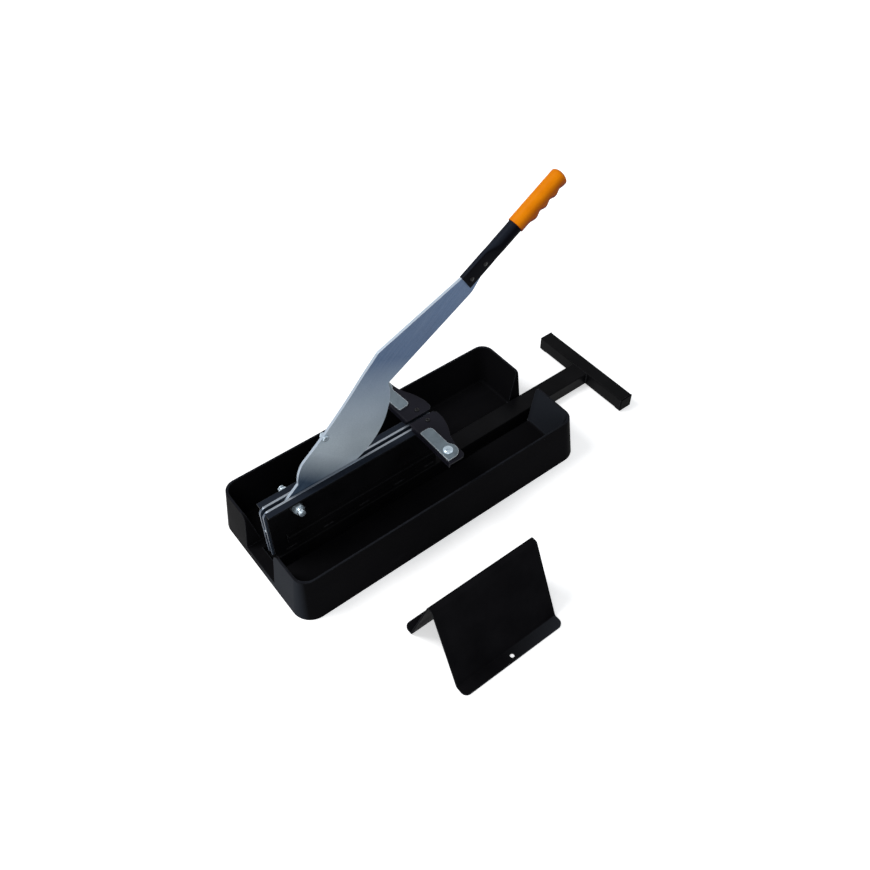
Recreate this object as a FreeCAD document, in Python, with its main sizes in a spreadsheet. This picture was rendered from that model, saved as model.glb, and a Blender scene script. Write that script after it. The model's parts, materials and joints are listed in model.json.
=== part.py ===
import FreeCAD, Part
import math
import os

import Sketcher

Vector = FreeCAD.Vector
Rotation = FreeCAD.Rotation
Placement = FreeCAD.Placement

doc = FreeCAD.newDocument("laminate_cutter")

# Driving dimensions in millimetres: alias, value, meaning
SIZES = (
    ("tray_length", 608.0, "tray, outside length at the rim"),
    ("tray_width", 267.4, "tray, outside width at the rim"),
    ("tray_height", 94.5, "tray, ground to rim"),
    ("tray_flare", 12.0, "how far the outer skirt spreads at the ground"),
    ("tray_wall", 3.0, "thickness of the moulded wall"),
    ("rim_width", 4.0, "flat top of the double wall"),
    ("cavity_draft", 15.6, "how far the inner wall slopes in down to the floor"),
    ("floor_height", 14.0, "top of the raised floor above the ground"),
    ("rim_corner", 25.0, "corner radius of the rim outside"),
    ("floor_corner", 9.0, "corner radius of the floor"),
    ("front_notch", 58.0, "width of the notch that the stem leaves by"),
    ("front_notch_round", 9.0, "radius of that notch's top corners"),
    ("rear_notch", 94.0, "width of the notch behind the pivot"),
    ("rear_notch_round", 16.0, "radius of that notch's top corners"),
    ("channel_floor", 2.5, "thickness of the channel floor under the stem"),
    ("channel_end", 292.0, "rear end of the channel behind the tray centre"),
    ("stem_width", 40.0, "stem tube, across"),
    ("stem_height", 30.0, "stem tube, height"),
    ("stem_rear", 286.0, "rear end of the stem behind the tray centre"),
    ("tube_wall", 2.0, "wall of both frame tubes"),
    ("tube_round", 2.5, "outer corner radius of both frame tubes"),
    ("cross_place", 469.7, "centre of the cross tube in front of the tray centre"),
    ("cross_size", 30.0, "cross tube, side of its square section"),
    ("cross_length", 241.0, "cross tube with its caps, length"),
    ("cap_thickness", 2.5, "flange of an end cap"),
    ("cap_plug", 12.0, "how far an end cap reaches into the tube"),
    ("foot_length", 14.0, "pad under the end of the cross tube, along the tube"),
    ("foot_margin", 2.0, "how far a pad stays inside the tube's sides"),
    ("rail_top", 148.4, "top of the rails above the ground"),
    ("rail_rear", 291.0, "rear end of the rails behind the tray centre"),
    ("rail_front", 66.0, "front end of the rails in front of the tray centre"),
    ("rail_corner", 12.0, "radius of the rails' top rear corner"),
    ("blade_gap", 7.2, "slot between the anvil plates"),
    ("anvil_thickness", 4.0, "thickness of an anvil plate"),
    ("angle_thickness", 4.0, "thickness of a rail angle"),
    ("flange_reach", 20.0, "outer edge of the rail flange from the centre"),
    ("flange_thickness", 3.0, "rail angle, thickness of its top flange"),
    ("flange_rear", 4.0, "how far the angles stop short of the plates' rear end"),
    ("ledge_top", 73.5, "top of the side angles above the ground"),
    ("ledge_width", 10.0, "side angle, width of its top leg"),
    ("ledge_drop", 23.5, "side angle, height of its upright leg"),
    ("ledge_thickness", 3.0, "side angle, thickness"),
    ("ledge_rear", 260.0, "rear end of the side angles behind the tray centre"),
    ("spacer_height", 92.5, "centre of the rail spacers above the ground"),
    ("spacer_inset", 6.3, "rear spacer's centre from the rails' rear end"),
    ("front_spacer_inset", 16.0, "front spacer's centre from the rails' front end"),
    ("spacer_diameter", 11.0, "rail spacer sleeve"),
    ("pivot_inset", 58.5, "pivot from the rails' rear end"),
    ("pivot_drop", 15.4, "pivot below the top of the rails"),
    ("pivot_diameter", 12.0, "pivot stud"),
    ("running_clearance", 0.05, "radial clearance of a turning fit"),
    ("pivot_flats", 18.0, "pivot lock nuts across flats"),
    ("pivot_nut_height", 14.5, "pivot lock nut with its washer"),
    ("pivot_tip", 3.5, "stud end that stands out of each nut"),
    ("blade_thickness", 5.0, "blade plate"),
    ("blade_eye", 15.0, "radius of the blade's end round the pivot"),
    ("nose_reach", 207.8, "blade nose in front of the pivot"),
    ("nose_rise", 154.0, "blade nose above the pivot"),
    ("heel_reach", 384.0, "blade heel, below the handle, in front of the pivot"),
    ("heel_rise", 257.6, "blade heel above the pivot"),
    ("heel_round", 30.0, "radius of the heel"),
    ("bend_reach", 193.5, "corner of the back edge in front of the pivot"),
    ("bend_rise", 229.8, "corner of the back edge above the pivot"),
    ("bend_round", 12.0, "radius of that corner"),
    ("handle_reach", 370.7, "start of the handle in front of the pivot"),
    ("handle_rise", 281.8, "start of the handle above the pivot"),
    ("handle_angle", 32.55, "handle above the horizontal, in degrees"),
    ("handle_length", 232.0, "handle with its grip, length"),
    ("handle_diameter", 25.5, "handle tube outside"),
    ("handle_wall", 2.6, "handle tube wall"),
    ("flat_width", 33.0, "flattened end of the handle tube, across"),
    ("flat_thickness", 10.0, "flattened end of the handle tube, thickness"),
    ("flat_round", 3.0, "radius of its long edges"),
    ("flat_length", 57.0, "flattened end of the handle tube, length"),
    ("tongue_gap", 4.0, "room in the slit beyond the blade's tongue"),
    ("flat_blend", 28.0, "stretch from the flattened end to the round tube"),
    ("slit_clearance", 0.1, "room beside the tongue in the slit, each side"),
    ("grip_length", 111.7, "grip"),
    ("grip_diameter", 29.5, "grip outside"),
    ("grip_swell", 5.4, "how far the finger side of the grip stands out"),
    ("grip_fit", 0.1, "radial room between tube and grip"),
    ("grip_end", 5.5, "taper at the grip's end"),
    ("grip_end_radius", 10.0, "radius of the grip's end face"),
    ("ridge_pitch", 23.5, "pitch of the finger ridges"),
    ("ridge_height", 5.4, "height of a finger ridge"),
    ("ridge_half", 6.5, "half the width of a finger ridge at mid height"),
    ("first_ridge", 32.5, "first finger ridge from the start of the grip"),
    ("end_ridge", 3.2, "height of the last, lower ridge at the end of the grip"),
    ("rivet_diameter", 9.0, "handle rivet"),
    ("rivet_rise", 2.2, "rivet head height"),
    ("rivet_place", 11.0, "first rivet from the start of the handle"),
    ("rivet_drop", 1.0, "rivets below the handle's axis"),
    ("rivet_pitch", 32.5, "distance between the rivets"),
    ("stud_diameter", 6.0, "small bolt through the blade"),
    ("stud_reach", 78.5, "small bolt in front of the pivot"),
    ("stud_rise", 108.0, "small bolt above the pivot"),
    ("stud_flats", 10.0, "its head and nut across flats"),
    ("stud_head", 4.0, "its head and nut height"),
    ("stud_tip", 3.0, "its end that stands out of the nut"),
    ("wing_rise", 13.0, "top of the wings above the rails"),
    ("wing_thickness", 3.0, "wing sheet"),
    ("wing_start", 13.5, "rear edge of the wings in front of the tray centre"),
    ("wing_depth", 57.5, "wing, front to rear at the slot"),
    ("wing_tip_depth", 34.5, "wing, front to rear near its tip"),
    ("wing_reach", 121.0, "wing tip from the centre"),
    ("wing_shoulder", 24.0, "end of the wing's straight front from the centre"),
    ("wing_waist", 66.0, "where the wing gets narrow, from the centre"),
    ("wing_slot", 7.5, "slot between the wings"),
    ("lip_start", 9.0, "inner end of a wing's lip from the centre"),
    ("wing_hole_place", 45.0, "wing screws in front of the tray centre"),
    ("wing_hole_side", 15.8, "wing screws from the centre"),
    ("wing_screw", 5.0, "wing screw diameter"),
    ("wing_screw_head", 9.0, "wing screw head diameter"),
    ("wing_spacer", 8.0, "wing spacer diameter"),
    ("fence_thickness", 3.0, "fence plate"),
    ("fence_start", 14.5, "straight edge of the fence plates from the tray centre"),
    ("fence_width", 24.3, "fence plate bar, across"),
    ("fence_inner", 33.5, "inner end of the fence plates from the centre"),
    ("fence_outer", 114.5, "outer end of the fence plates from the centre"),
    ("fence_bolt_place", 28.3, "fence bolts in front of the tray centre"),
    ("fence_bolt_side", 95.5, "fence bolts from the centre"),
    ("fence_lobe", 17.3, "radius of the fence plate round its bolt"),
    ("far_fence_swing", 4.0, "far fence plate turned from square, in degrees"),
    ("fence_bolt", 8.0, "fence bolt diameter"),
    ("fence_head", 19.0, "fence bolt's round head"),
    ("fence_head_height", 4.8, "fence bolt's head, height"),
    ("fence_nut_flats", 13.0, "fence nut across flats"),
    ("fence_nut_height", 8.0, "fence lock nut"),
    ("stand_place", 76.7, "middle of the stand behind the tray centre"),
    ("stand_side", 318.0, "ridge of the stand from the tray centre"),
    ("stand_width", 212.2, "stand sheet, width"),
    ("stand_front_run", 68.5, "front foot bend from the middle of the ridge"),
    ("stand_rear_run", 54.8, "rear foot bend from the middle of the ridge"),
    ("stand_thickness", 3.0, "stand sheet"),
    ("ridge_width", 12.0, "flat ridge of the stand"),
    ("front_foot", 21.0, "stand foot away from the tray"),
    ("rear_foot", 19.0, "stand foot towards the tray"),
    ("stand_bend", 3.0, "inner radius of the stand's bends"),
    ("stand_corner", 11.0, "radius of the stand's foot corners"),
    ("stand_hole", 8.0, "hole in the stand's foot"),
)

sheet = doc.addObject("Spreadsheet::Sheet", "sizes")
for row, (alias, number, meaning) in enumerate(SIZES, start=1):
    sheet.set("A%d" % row, meaning)
    sheet.set("B%d" % row, str(number))
    sheet.setAlias("B%d" % row, alias)
doc.recompute()
size = {alias: float(sheet.get(alias)) for alias, number, meaning in SIZES}

# Orientations: a shape made along Z laid along X or Y, and a sketch in the YZ plane
ALONG_X = Rotation(Vector(0, 1, 0), 90)
ALONG_Y = Rotation(Vector(1, 0, 0), -90)
IN_YZ = Rotation(Vector(0, 1, 0), Vector(0, 0, 1), Vector(1, 0, 0), "XYZ")
IN_XZ = Rotation(Vector(1, 0, 0), Vector(0, 0, 1), Vector(0, -1, 0), "XYZ")

nodes = {}


def keep(node, thing):
    """Name a finished sub-part."""
    thing.Label = node
    nodes[node] = thing
    return thing


def bind(thing, **sizes):
    """Tie properties to expressions of the sheet's aliases."""
    for prop, expression in sizes.items():
        thing.setExpression(prop.replace("_at_", "."), linked(expression))
    return thing


def linked(expression):
    """Put the sheet's name before each alias."""
    words = []
    word = ""
    for letter in str(expression) + " ":
        if letter.isalnum() or letter == "_":
            word += letter
            continue
        words.append("sizes." + word if word in size else word)
        words.append(letter)
        word = ""
    return "".join(words).strip()


def put(thing, x=0, y=0, z=0, turn=None):
    """Place a feature at bound coordinates."""
    if turn:
        thing.Placement = Placement(Vector(), turn)
    return bind(thing, Placement_at_Base_at_x=x, Placement_at_Base_at_y=y, Placement_at_Base_at_z=z)


def box(name, length, width, height, x, y, z):
    """Box with its lowest corner at x, y, z."""
    block = doc.addObject("Part::Box", name)
    bind(block, Length=length, Width=width, Height=height)
    return put(block, x, y, z)


def rod(name, diameter, length, x, y, z, turn=None):
    """Cylinder that starts at x, y, z."""
    round_bar = doc.addObject("Part::Cylinder", name)
    bind(round_bar, Radius="(%s) / 2" % diameter, Height=length)
    return put(round_bar, x, y, z, turn)


def hexagon(name, flats, height, x, y, z, turn=None):
    """Hexagonal prism that starts at x, y, z."""
    prism = doc.addObject("Part::Prism", name)
    prism.Polygon = 6
    bind(prism, Circumradius="(%s) / 2 / cos(30)" % flats, Height=height)
    return put(prism, x, y, z, turn)


def cone(name, low, high, height, x, y, z, turn=None):
    """Cone from one radius to another that starts at x, y, z."""
    tapered = doc.addObject("Part::Cone", name)
    bind(tapered, Radius1=low, Radius2=high, Height=height)
    return put(tapered, x, y, z, turn)


def cut(name, base, *tools):
    """Base with the tools taken away, one after the other."""
    for count, tool in enumerate(tools):
        step = doc.addObject("Part::Cut", "%s_cut%d" % (name, count))
        step.Base = base
        step.Tool = tool
        base = step
    return base


def fuse(name, *pieces):
    """One solid out of touching pieces."""
    joined = doc.addObject("Part::MultiFuse", name + "_fused")
    joined.Shapes = list(pieces)
    joined.Refine = True
    return joined


def group(name, *pieces):
    """Separate solids in one node."""
    together = doc.addObject("Part::Compound", name + "_group")
    together.Links = list(pieces)
    return together


def mirrored(name, source):
    """The same piece on the other side of the blade."""
    other = doc.addObject("Part::Mirroring", name + "_mirror")
    other.Source = source
    other.Normal = Vector(0, 1, 0)
    return other


def join(sketch, first, first_end, second, second_end):
    sketch.addConstraint(Sketcher.Constraint("Tangent", first, first_end, second, second_end))


def rounded_rectangle(sketch, left, right, bottom, top, radius):
    """Constrained rectangle with round corners, tied to the sheet."""
    half, corner = 50.0, 5.0
    inner = half - corner
    start = sketch.GeometryCount
    for turn in range(4):
        quarter = math.pi / 2 * turn
        along = Rotation(Vector(0, 0, 1), 90 * turn)
        side = Part.LineSegment(along * Vector(-inner, -half, 0), along * Vector(inner, -half, 0))
        centre = along * Vector(inner, -inner, 0)
        arc = Part.ArcOfCircle(Part.Circle(centre, Vector(0, 0, 1), corner), quarter - math.pi / 2, quarter)
        sketch.addGeometry([side, arc])
    for turn in range(4):
        side, arc = start + 2 * turn, start + 2 * turn + 1
        join(sketch, side, 2, arc, 1)
        join(sketch, arc, 2, start + (2 * turn + 2) % 8, 1)
        sketch.addConstraint(Sketcher.Constraint("Vertical" if turn % 2 else "Horizontal", side))
        if turn:
            sketch.addConstraint(Sketcher.Constraint("Equal", start + 1, arc))
    for kind, side, expression in (("DistanceY", 0, bottom), ("DistanceX", 2, right),
                                   ("DistanceY", 4, top), ("DistanceX", 6, left)):
        sign = -half if side in (0, 6) else half
        count = sketch.addConstraint(Sketcher.Constraint(kind, -1, 1, start + side, 1, sign))
        sketch.setExpression("Constraints[%d]" % count, linked(expression))
    count = sketch.addConstraint(Sketcher.Constraint("Radius", start + 1, corner))
    sketch.setExpression("Constraints[%d]" % count, linked(radius))


def square_hole(sketch, half_x, half_y):
    """Constrained rectangle about the sketch's origin."""
    start = sketch.GeometryCount
    corners = [Vector(-9, -9), Vector(9, -9), Vector(9, 9), Vector(-9, 9)]
    for here in range(4):
        sketch.addGeometry(Part.LineSegment(corners[here], corners[(here + 1) % 4]))
    for here in range(4):
        sketch.addConstraint(Sketcher.Constraint("Coincident", start + here, 2, start + (here + 1) % 4, 1))
        sketch.addConstraint(Sketcher.Constraint("Vertical" if here % 2 else "Horizontal", start + here))
    sides = (("DistanceY", -9.0, "-(%s)" % half_y), ("DistanceX", 9.0, half_x),
             ("DistanceY", 9.0, half_y), ("DistanceX", -9.0, "-(%s)" % half_x))
    for side, (kind, value, expression) in enumerate(sides):
        count = sketch.addConstraint(Sketcher.Constraint(kind, -1, 1, start + side, 1, value))
        sketch.setExpression("Constraints[%d]" % count, linked(expression))


def new_body(node):
    thing = doc.addObject("PartDesign::Body", node + "_body")
    return keep(node, thing)


def plane_sketch(body, name, role, offset="0"):
    """Sketch on one of the body's origin planes, moved along its normal."""
    sketch = body.newObject("Sketcher::SketchObject", name)
    plane = [item for item in body.Origin.OriginFeatures if item.Role == role][0]
    sketch.AttachmentSupport = [(plane, "")]
    sketch.MapMode = "FlatFace"
    sketch.setExpression("AttachmentOffset.Base.z", linked(offset))
    return sketch


def draw(sketch, *curves):
    """Add a closed outline of lines and arcs, ends joined."""
    start = sketch.GeometryCount
    sketch.addGeometry(list(curves))
    for count in range(len(curves)):
        here, following = start + count, start + (count + 1) % len(curves)
        pairs = [(first, second) for first in (1, 2) for second in (1, 2)]
        gaps = [sketch.getPoint(here, first).distanceToPoint(sketch.getPoint(following, second))
                for first, second in pairs]
        first, second = pairs[gaps.index(min(gaps))]
        sketch.addConstraint(Sketcher.Constraint("Coincident", here, first, following, second))
    return sketch


def circle(sketch, x, y, diameter):
    """Circle whose place and size are tied to the sheet."""
    count = sketch.addGeometry(Part.Circle(Vector(1, 1, 0), Vector(0, 0, 1), 2.0))
    for kind, expression in (("DistanceX", x), ("DistanceY", y)):
        number = sketch.addConstraint(Sketcher.Constraint(kind, -1, 1, count, 3, 1.0))
        sketch.setExpression("Constraints[%d]" % number, linked(expression))
    number = sketch.addConstraint(Sketcher.Constraint("Diameter", count, 4.0))
    sketch.setExpression("Constraints[%d]" % number, linked(diameter))


def pad(body, sketch, length, middle=False, back=False):
    feature = body.newObject("PartDesign::Pad", sketch.Name + "_pad")
    feature.Profile = sketch
    feature.SideType = "Symmetric" if middle else "One side"
    feature.Reversed = back
    return bind(feature, Length=length)


def pocket(body, sketch):
    """Cut right through, both ways from the sketch."""
    feature = body.newObject("PartDesign::Pocket", sketch.Name + "_pocket")
    feature.Profile = sketch
    feature.SideType = "Symmetric"
    feature.Type = "ThroughAll"
    return feature


def line(first, second):
    return Part.LineSegment(Vector(*first), Vector(*second))


def arc(first, middle, last):
    return Part.Arc(Vector(*first), Vector(*middle), Vector(*last))


def round_corner(before, corner, after, radius):
    """Points where the rounding of a corner starts and ends, and the point half way."""
    back = (before - corner).normalize()
    ahead = (after - corner).normalize()
    half = back.getAngle(ahead) / 2
    first = corner + back * (radius / math.tan(half))
    last = corner + ahead * (radius / math.tan(half))
    middle = corner + (back + ahead).normalize() * (radius / math.sin(half) - radius)
    return first, middle, last


def rounded(*corners):
    """Closed outline through corners given as x, y, radius."""
    points = [Vector(x, y) for x, y, radius in corners]
    curves = []
    ends = []
    for here, corner in enumerate(corners):
        if corner[2]:
            around = (points[here - 1], points[here], points[(here + 1) % len(points)])
            ends.append(round_corner(*around, corner[2]))
        else:
            ends.append((points[here], None, points[here]))
    for here, (first, middle, last) in enumerate(ends):
        if middle:
            curves.append(Part.Arc(first, middle, last))
        curves.append(Part.LineSegment(last, ends[(here + 1) % len(ends)][0]))
    return curves


def free_sketch(name, curves, place):
    """Sketch that stands on its own at a placement."""
    sketch = doc.addObject("Sketcher::SketchObject", name)
    draw(sketch, *curves)
    sketch.Placement = place
    return sketch


def extrusion(name, sketch, length):
    """Solid along the sketch's normal."""
    solid = doc.addObject("Part::Extrusion", name)
    solid.Base = sketch
    solid.DirMode = "Normal"
    solid.Solid = True
    return bind(solid, LengthFwd=length)


def edges_where(feature, test):
    """Names of the edges whose middle passes the test."""
    doc.recompute()
    found = []
    for number, edge in enumerate(feature.Shape.Edges, start=1):
        if test(edge.CenterOfMass, edge):
            found.append("Edge%d" % number)
    return found


def fillet(body, feature, test, radius):
    blend = body.newObject("PartDesign::Fillet", feature.Name + "_round")
    blend.Base = (feature, edges_where(feature, test))
    return bind(blend, Radius=radius)


def upright(edge):
    """True for a straight edge along Z."""
    box_of_edge = edge.BoundBox
    return box_of_edge.ZLength > 0.5 and box_of_edge.XLength + box_of_edge.YLength < 0.01


# Tray: a drafted shell with a raised floor, a channel for the stem and two notches
def drafted(name, inset, low, high, start, height, round_corners=True):
    """Block with leaning walls: a fixed core inside the rim with a margin that goes from low to high."""
    core_x, core_y = "tray_length / 2 - (%s)" % inset, "tray_width / 2 - (%s)" % inset
    upright_wedge = Rotation(Vector(1, 0, 0), 90)
    pieces = []
    for along, lean_x, lean_y in (("x", 1, 0), ("y", 0, 1)):
        wedge = doc.addObject("Part::Wedge", "%s_%s" % (name, along))
        for end, margin in (("", low), ("2", high)):
            half_x = "%s + %d * (%s)" % (core_x, lean_x, margin)
            half_y = "%s + %d * (%s)" % (core_y, lean_y, margin)
            bind(wedge, **{"X%smin" % end: "-(%s)" % half_x, "X%smax" % end: half_x,
                           "Z%smin" % end: "-(%s)" % half_y, "Z%smax" % end: half_y})
        bind(wedge, Ymin="0", Ymax=height)
        pieces.append(put(wedge, z=start, turn=upright_wedge))
    if round_corners:
        for side_x, side_y in ((-1, -1), (-1, 1), (1, -1), (1, 1)):
            corner = "%s_corner%d" % (name, 2 * side_x + side_y + 4)
            pieces.append(cone(corner, low, high, height, "%d * (%s)" % (side_x, core_x),
                               "%d * (%s)" % (side_y, core_y), start))
    return fuse(name, *pieces)


INNER_WALL = "(rim_width + floor_corner + cavity_draft)"
outside = drafted("outside", "rim_corner", "rim_corner + tray_flare", "rim_corner", "0", "tray_height")
cavity = drafted("cavity", INNER_WALL, "floor_corner", "floor_corner + cavity_draft",
                 "floor_height", "tray_height - floor_height")
room_under = drafted("room_under", INNER_WALL, INNER_WALL + " + tray_flare - tray_wall",
                     INNER_WALL + " - tray_wall * (1 - tray_flare / tray_height)", "0",
                     "tray_height - tray_wall", round_corners=False)
cavity_wall = drafted("cavity_wall", INNER_WALL, "floor_corner + tray_wall",
                      "floor_corner + cavity_draft + tray_wall", "floor_height - tray_wall",
                      "tray_height - floor_height + tray_wall", round_corners=False)


def trough(name, width, corner, bottom, top, grow, start, length):
    """Straight trough along X whose upper edges are rounded outwards."""
    side = width / 2
    outer = side + corner
    shoulder = top - corner
    swing = corner - grow
    arc_middle = swing * math.sqrt(0.5)
    curves = [
        line((-side - grow, bottom), (side + grow, bottom)),
        line((side + grow, bottom), (side + grow, shoulder)),
        arc((side + grow, shoulder), (outer - arc_middle, shoulder + arc_middle), (outer, top - grow)),
        line((outer, top - grow), (outer, top + 1)),
        line((outer, top + 1), (-outer, top + 1)),
        line((-outer, top + 1), (-outer, top - grow)),
        arc((-outer, top - grow), (arc_middle - outer, shoulder + arc_middle), (-side - grow, shoulder)),
        line((-side - grow, shoulder), (-side - grow, bottom)),
    ]
    sketch = free_sketch(name + "_section", curves, Placement(Vector(start, 0, 0), IN_YZ))
    return extrusion(name, sketch, str(length))


def troughs(name, grow):
    """Channel in the floor and the notches in the end walls."""
    wall_start = size["tray_length"] / 2 - size["rim_width"] - size["cavity_draft"]
    reach = size["tray_length"] / 2 + size["tray_flare"] + 5
    depth = size["channel_floor"] if not grow else -1.0
    channel = trough(name + "_channel", size["front_notch"], 4.0, depth, size["floor_height"], grow,
                     -size["channel_end"] - grow, size["channel_end"] + grow + wall_start)
    front = trough(name + "_front", size["front_notch"], size["front_notch_round"], depth,
                   size["tray_height"], grow, wall_start - 10, reach - wall_start + 10)
    rear = trough(name + "_rear", size["rear_notch"], size["rear_notch_round"], size["floor_height"] - grow,
                  size["tray_height"], grow, -reach, reach - wall_start + 10)
    return channel, front, rear


hollow = cut("hollow", room_under, cavity_wall, *troughs("hollow", size["tray_wall"]))
tray = cut("tray", outside, cavity, *troughs("tray", 0.0), hollow)
keep("tray", tray)


def tube(node, role, side, height, offset, length, middle=False):
    """Rectangular tube with round corners, drawn about its own axis."""
    body = new_body(node)
    outer = plane_sketch(body, node + "_section", role, offset)
    rounded_rectangle(outer, "-(%s) / 2" % side, "(%s) / 2" % side, "-(%s) / 2" % height,
                      "(%s) / 2" % height, "tube_round")
    square_hole(outer, "(%s) / 2 - tube_wall" % side, "(%s) / 2 - tube_wall" % height)
    pad(body, outer, length, middle)
    return body


# Stem tube in the channel, cross tube in front of it
stem = tube("stem_tube", "YZ_Plane", "stem_width", "stem_height", "-stem_rear",
            "stem_rear + cross_place - cross_size / 2")
put(stem, z="channel_floor + stem_height / 2")
cross = tube("cross_tube", "XZ_Plane", "cross_size", "cross_size", "0",
             "cross_length - 2 * cap_thickness", middle=True)
put(cross, x="cross_place", z="channel_floor + cross_size / 2")


def cap(name, side):
    """End cap: a flange outside and a plug in the tube."""
    far_plug, near_plug = "cross_length / 2 - cap_thickness - cap_plug", "cap_thickness - cross_length / 2"
    plug = box(name + "_plug", "cross_size - 2 * tube_wall - 0.2", "cap_plug",
               "cross_size - 2 * tube_wall - 0.2", "cross_place - cross_size / 2 + tube_wall + 0.1",
               far_plug if side > 0 else near_plug, "channel_floor + tube_wall + 0.1")
    start = "cross_length / 2 - cap_thickness" if side > 0 else "-cross_length / 2"
    flange = box(name + "_flange", "cross_size", "cap_thickness", "cross_size",
                 "cross_place - cross_size / 2", start, "channel_floor")
    soft = doc.addObject("Part::Chamfer", name + "_edges")
    soft.Base = flange
    outside = edges_where(flange, lambda middle, edge: abs(middle.y) > size["cross_length"] / 2 - 0.01)
    soft.Edges = [(int(edge[4:]), 0.8, 0.8) for edge in outside]
    return fuse(name, soft, plug)


keep("cross_tube_caps", group("caps", cap("cap_near", -1), cap("cap_far", 1)))


def foot(name, side):
    start = "cross_length / 2 - foot_margin - foot_length" if side > 0 else "foot_margin - cross_length / 2"
    return box(name, "cross_size - 2 * foot_margin", "foot_length", "channel_floor",
               "cross_place - cross_size / 2 + foot_margin", start, "0")


keep("cross_tube_feet", group("feet", foot("foot_near", -1), foot("foot_far", 1)))


# Rails: on each side an anvil plate, a flanged angle behind it and a small angle low down
LEG = "blade_gap / 2 + anvil_thickness"
PIVOT_X = "(pivot_inset - rail_rear)"
PIVOT_Z = "(rail_top - pivot_drop)"
REAR_SPACER = "(spacer_inset - rail_rear)"
FRONT_SPACER = "(rail_front - front_spacer_inset)"


def anvil_plate():
    body = new_body("anvil_plate_far")
    outline = plane_sketch(body, "anvil_outline", "XZ_Plane", "-(%s)" % LEG)
    rear, front = -size["rail_rear"], size["rail_front"]
    bottom, top = size["channel_floor"] + size["stem_height"], size["rail_top"]
    draw(outline, *rounded((rear, bottom, 0), (front, bottom, 0), (front, top, 0),
                           (rear, top, size["rail_corner"])))
    pad(body, outline, "anvil_thickness")
    holes = plane_sketch(body, "anvil_holes", "XZ_Plane")
    circle(holes, PIVOT_X, PIVOT_Z, "pivot_diameter + 2 * running_clearance")
    pocket(body, holes)
    return body


def rail_angle():
    body = new_body("rail_angle_far")
    section = plane_sketch(body, "angle_section", "YZ_Plane", "flange_rear - rail_rear")
    inner = size["blade_gap"] / 2 + size["anvil_thickness"]
    outer = inner + size["angle_thickness"]
    bottom, top = size["channel_floor"] + size["stem_height"], size["rail_top"]
    under = top - size["flange_thickness"]
    draw(section, *rounded((inner, bottom, 0), (outer, bottom, 0), (outer, under, 0),
                           (size["flange_reach"], under, 0), (size["flange_reach"], top, 1.0),
                           (inner, top, 0)))
    pad(body, section, "rail_front + rail_rear - flange_rear")
    holes = plane_sketch(body, "angle_pivot_hole", "XZ_Plane")
    circle(holes, PIVOT_X, PIVOT_Z, "pivot_diameter + 2 * running_clearance")
    pocket(body, holes)
    bores = plane_sketch(body, "angle_wing_hole", "XY_Plane", "rail_top")
    circle(bores, "wing_hole_place", "wing_hole_side", "wing_screw + 2 * running_clearance")
    feature = body.newObject("PartDesign::Pocket", "angle_wing_hole_pocket")
    feature.Profile = bores
    feature.SideType = "One side"
    bind(feature, Length="flange_thickness + 2")
    return body


def side_angle():
    body = new_body("side_angle_far")
    section = plane_sketch(body, "ledge_section", "YZ_Plane", "-ledge_rear")
    inner = size["blade_gap"] / 2 + size["anvil_thickness"] + size["angle_thickness"]
    thick, top = size["ledge_thickness"], size["ledge_top"]
    outer, bottom = inner + size["ledge_width"], size["ledge_top"] - size["ledge_drop"]
    draw(section, *rounded((inner, bottom, 0), (inner + thick, bottom, 0), (inner + thick, top - thick, 1.5),
                           (outer, top - thick, 0), (outer, top, 1.0), (inner, top, 0)))
    pad(body, section, "rail_front + ledge_rear")
    return body


for maker in (anvil_plate, rail_angle, side_angle):
    far = maker()
    keep(far.Label.replace("far", "near"), mirrored(far.Name + "_near", far))


# Spacers between the anvil plates, welded in at both ends
def rail_spacer(name, place):
    return rod(name, "spacer_diameter", "blade_gap", place, "-blade_gap / 2", "spacer_height", ALONG_Y)


keep("rail_spacers", group("spacers", rail_spacer("spacer_rear", REAR_SPACER),
                           rail_spacer("spacer_front", FRONT_SPACER)))

# Pivot: a stud through both rails with a lock nut on each end
CHEEK = "(blade_gap / 2 + anvil_thickness + angle_thickness)"
STUD_HALF = "(blade_gap / 2 + anvil_thickness + angle_thickness + pivot_nut_height + pivot_tip)"


def pivot_rod(name, diameter, length, start):
    return rod(name, diameter, length, PIVOT_X, start, PIVOT_Z, ALONG_Y)


def pivot_nut(name, start):
    flats = hexagon(name + "_hex", "pivot_flats", "pivot_nut_height", PIVOT_X, start, PIVOT_Z, ALONG_Y)
    return cut(name, flats, pivot_rod(name + "_in", "pivot_diameter + 2 * running_clearance",
                                      "pivot_nut_height + 2", "(%s) - 1" % start))


keep("pivot_stud", pivot_rod("stud_bar", "pivot_diameter", "2 * " + STUD_HALF, "-" + STUD_HALF))
keep("pivot_nuts", group("nuts", pivot_nut("nut_far", CHEEK),
                         pivot_nut("nut_near", "-pivot_nut_height - " + CHEEK)))


# Wings: bent sheets that stand on the rails with a lip, behind the work
WING_TOP = "rail_top + wing_rise"


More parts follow.
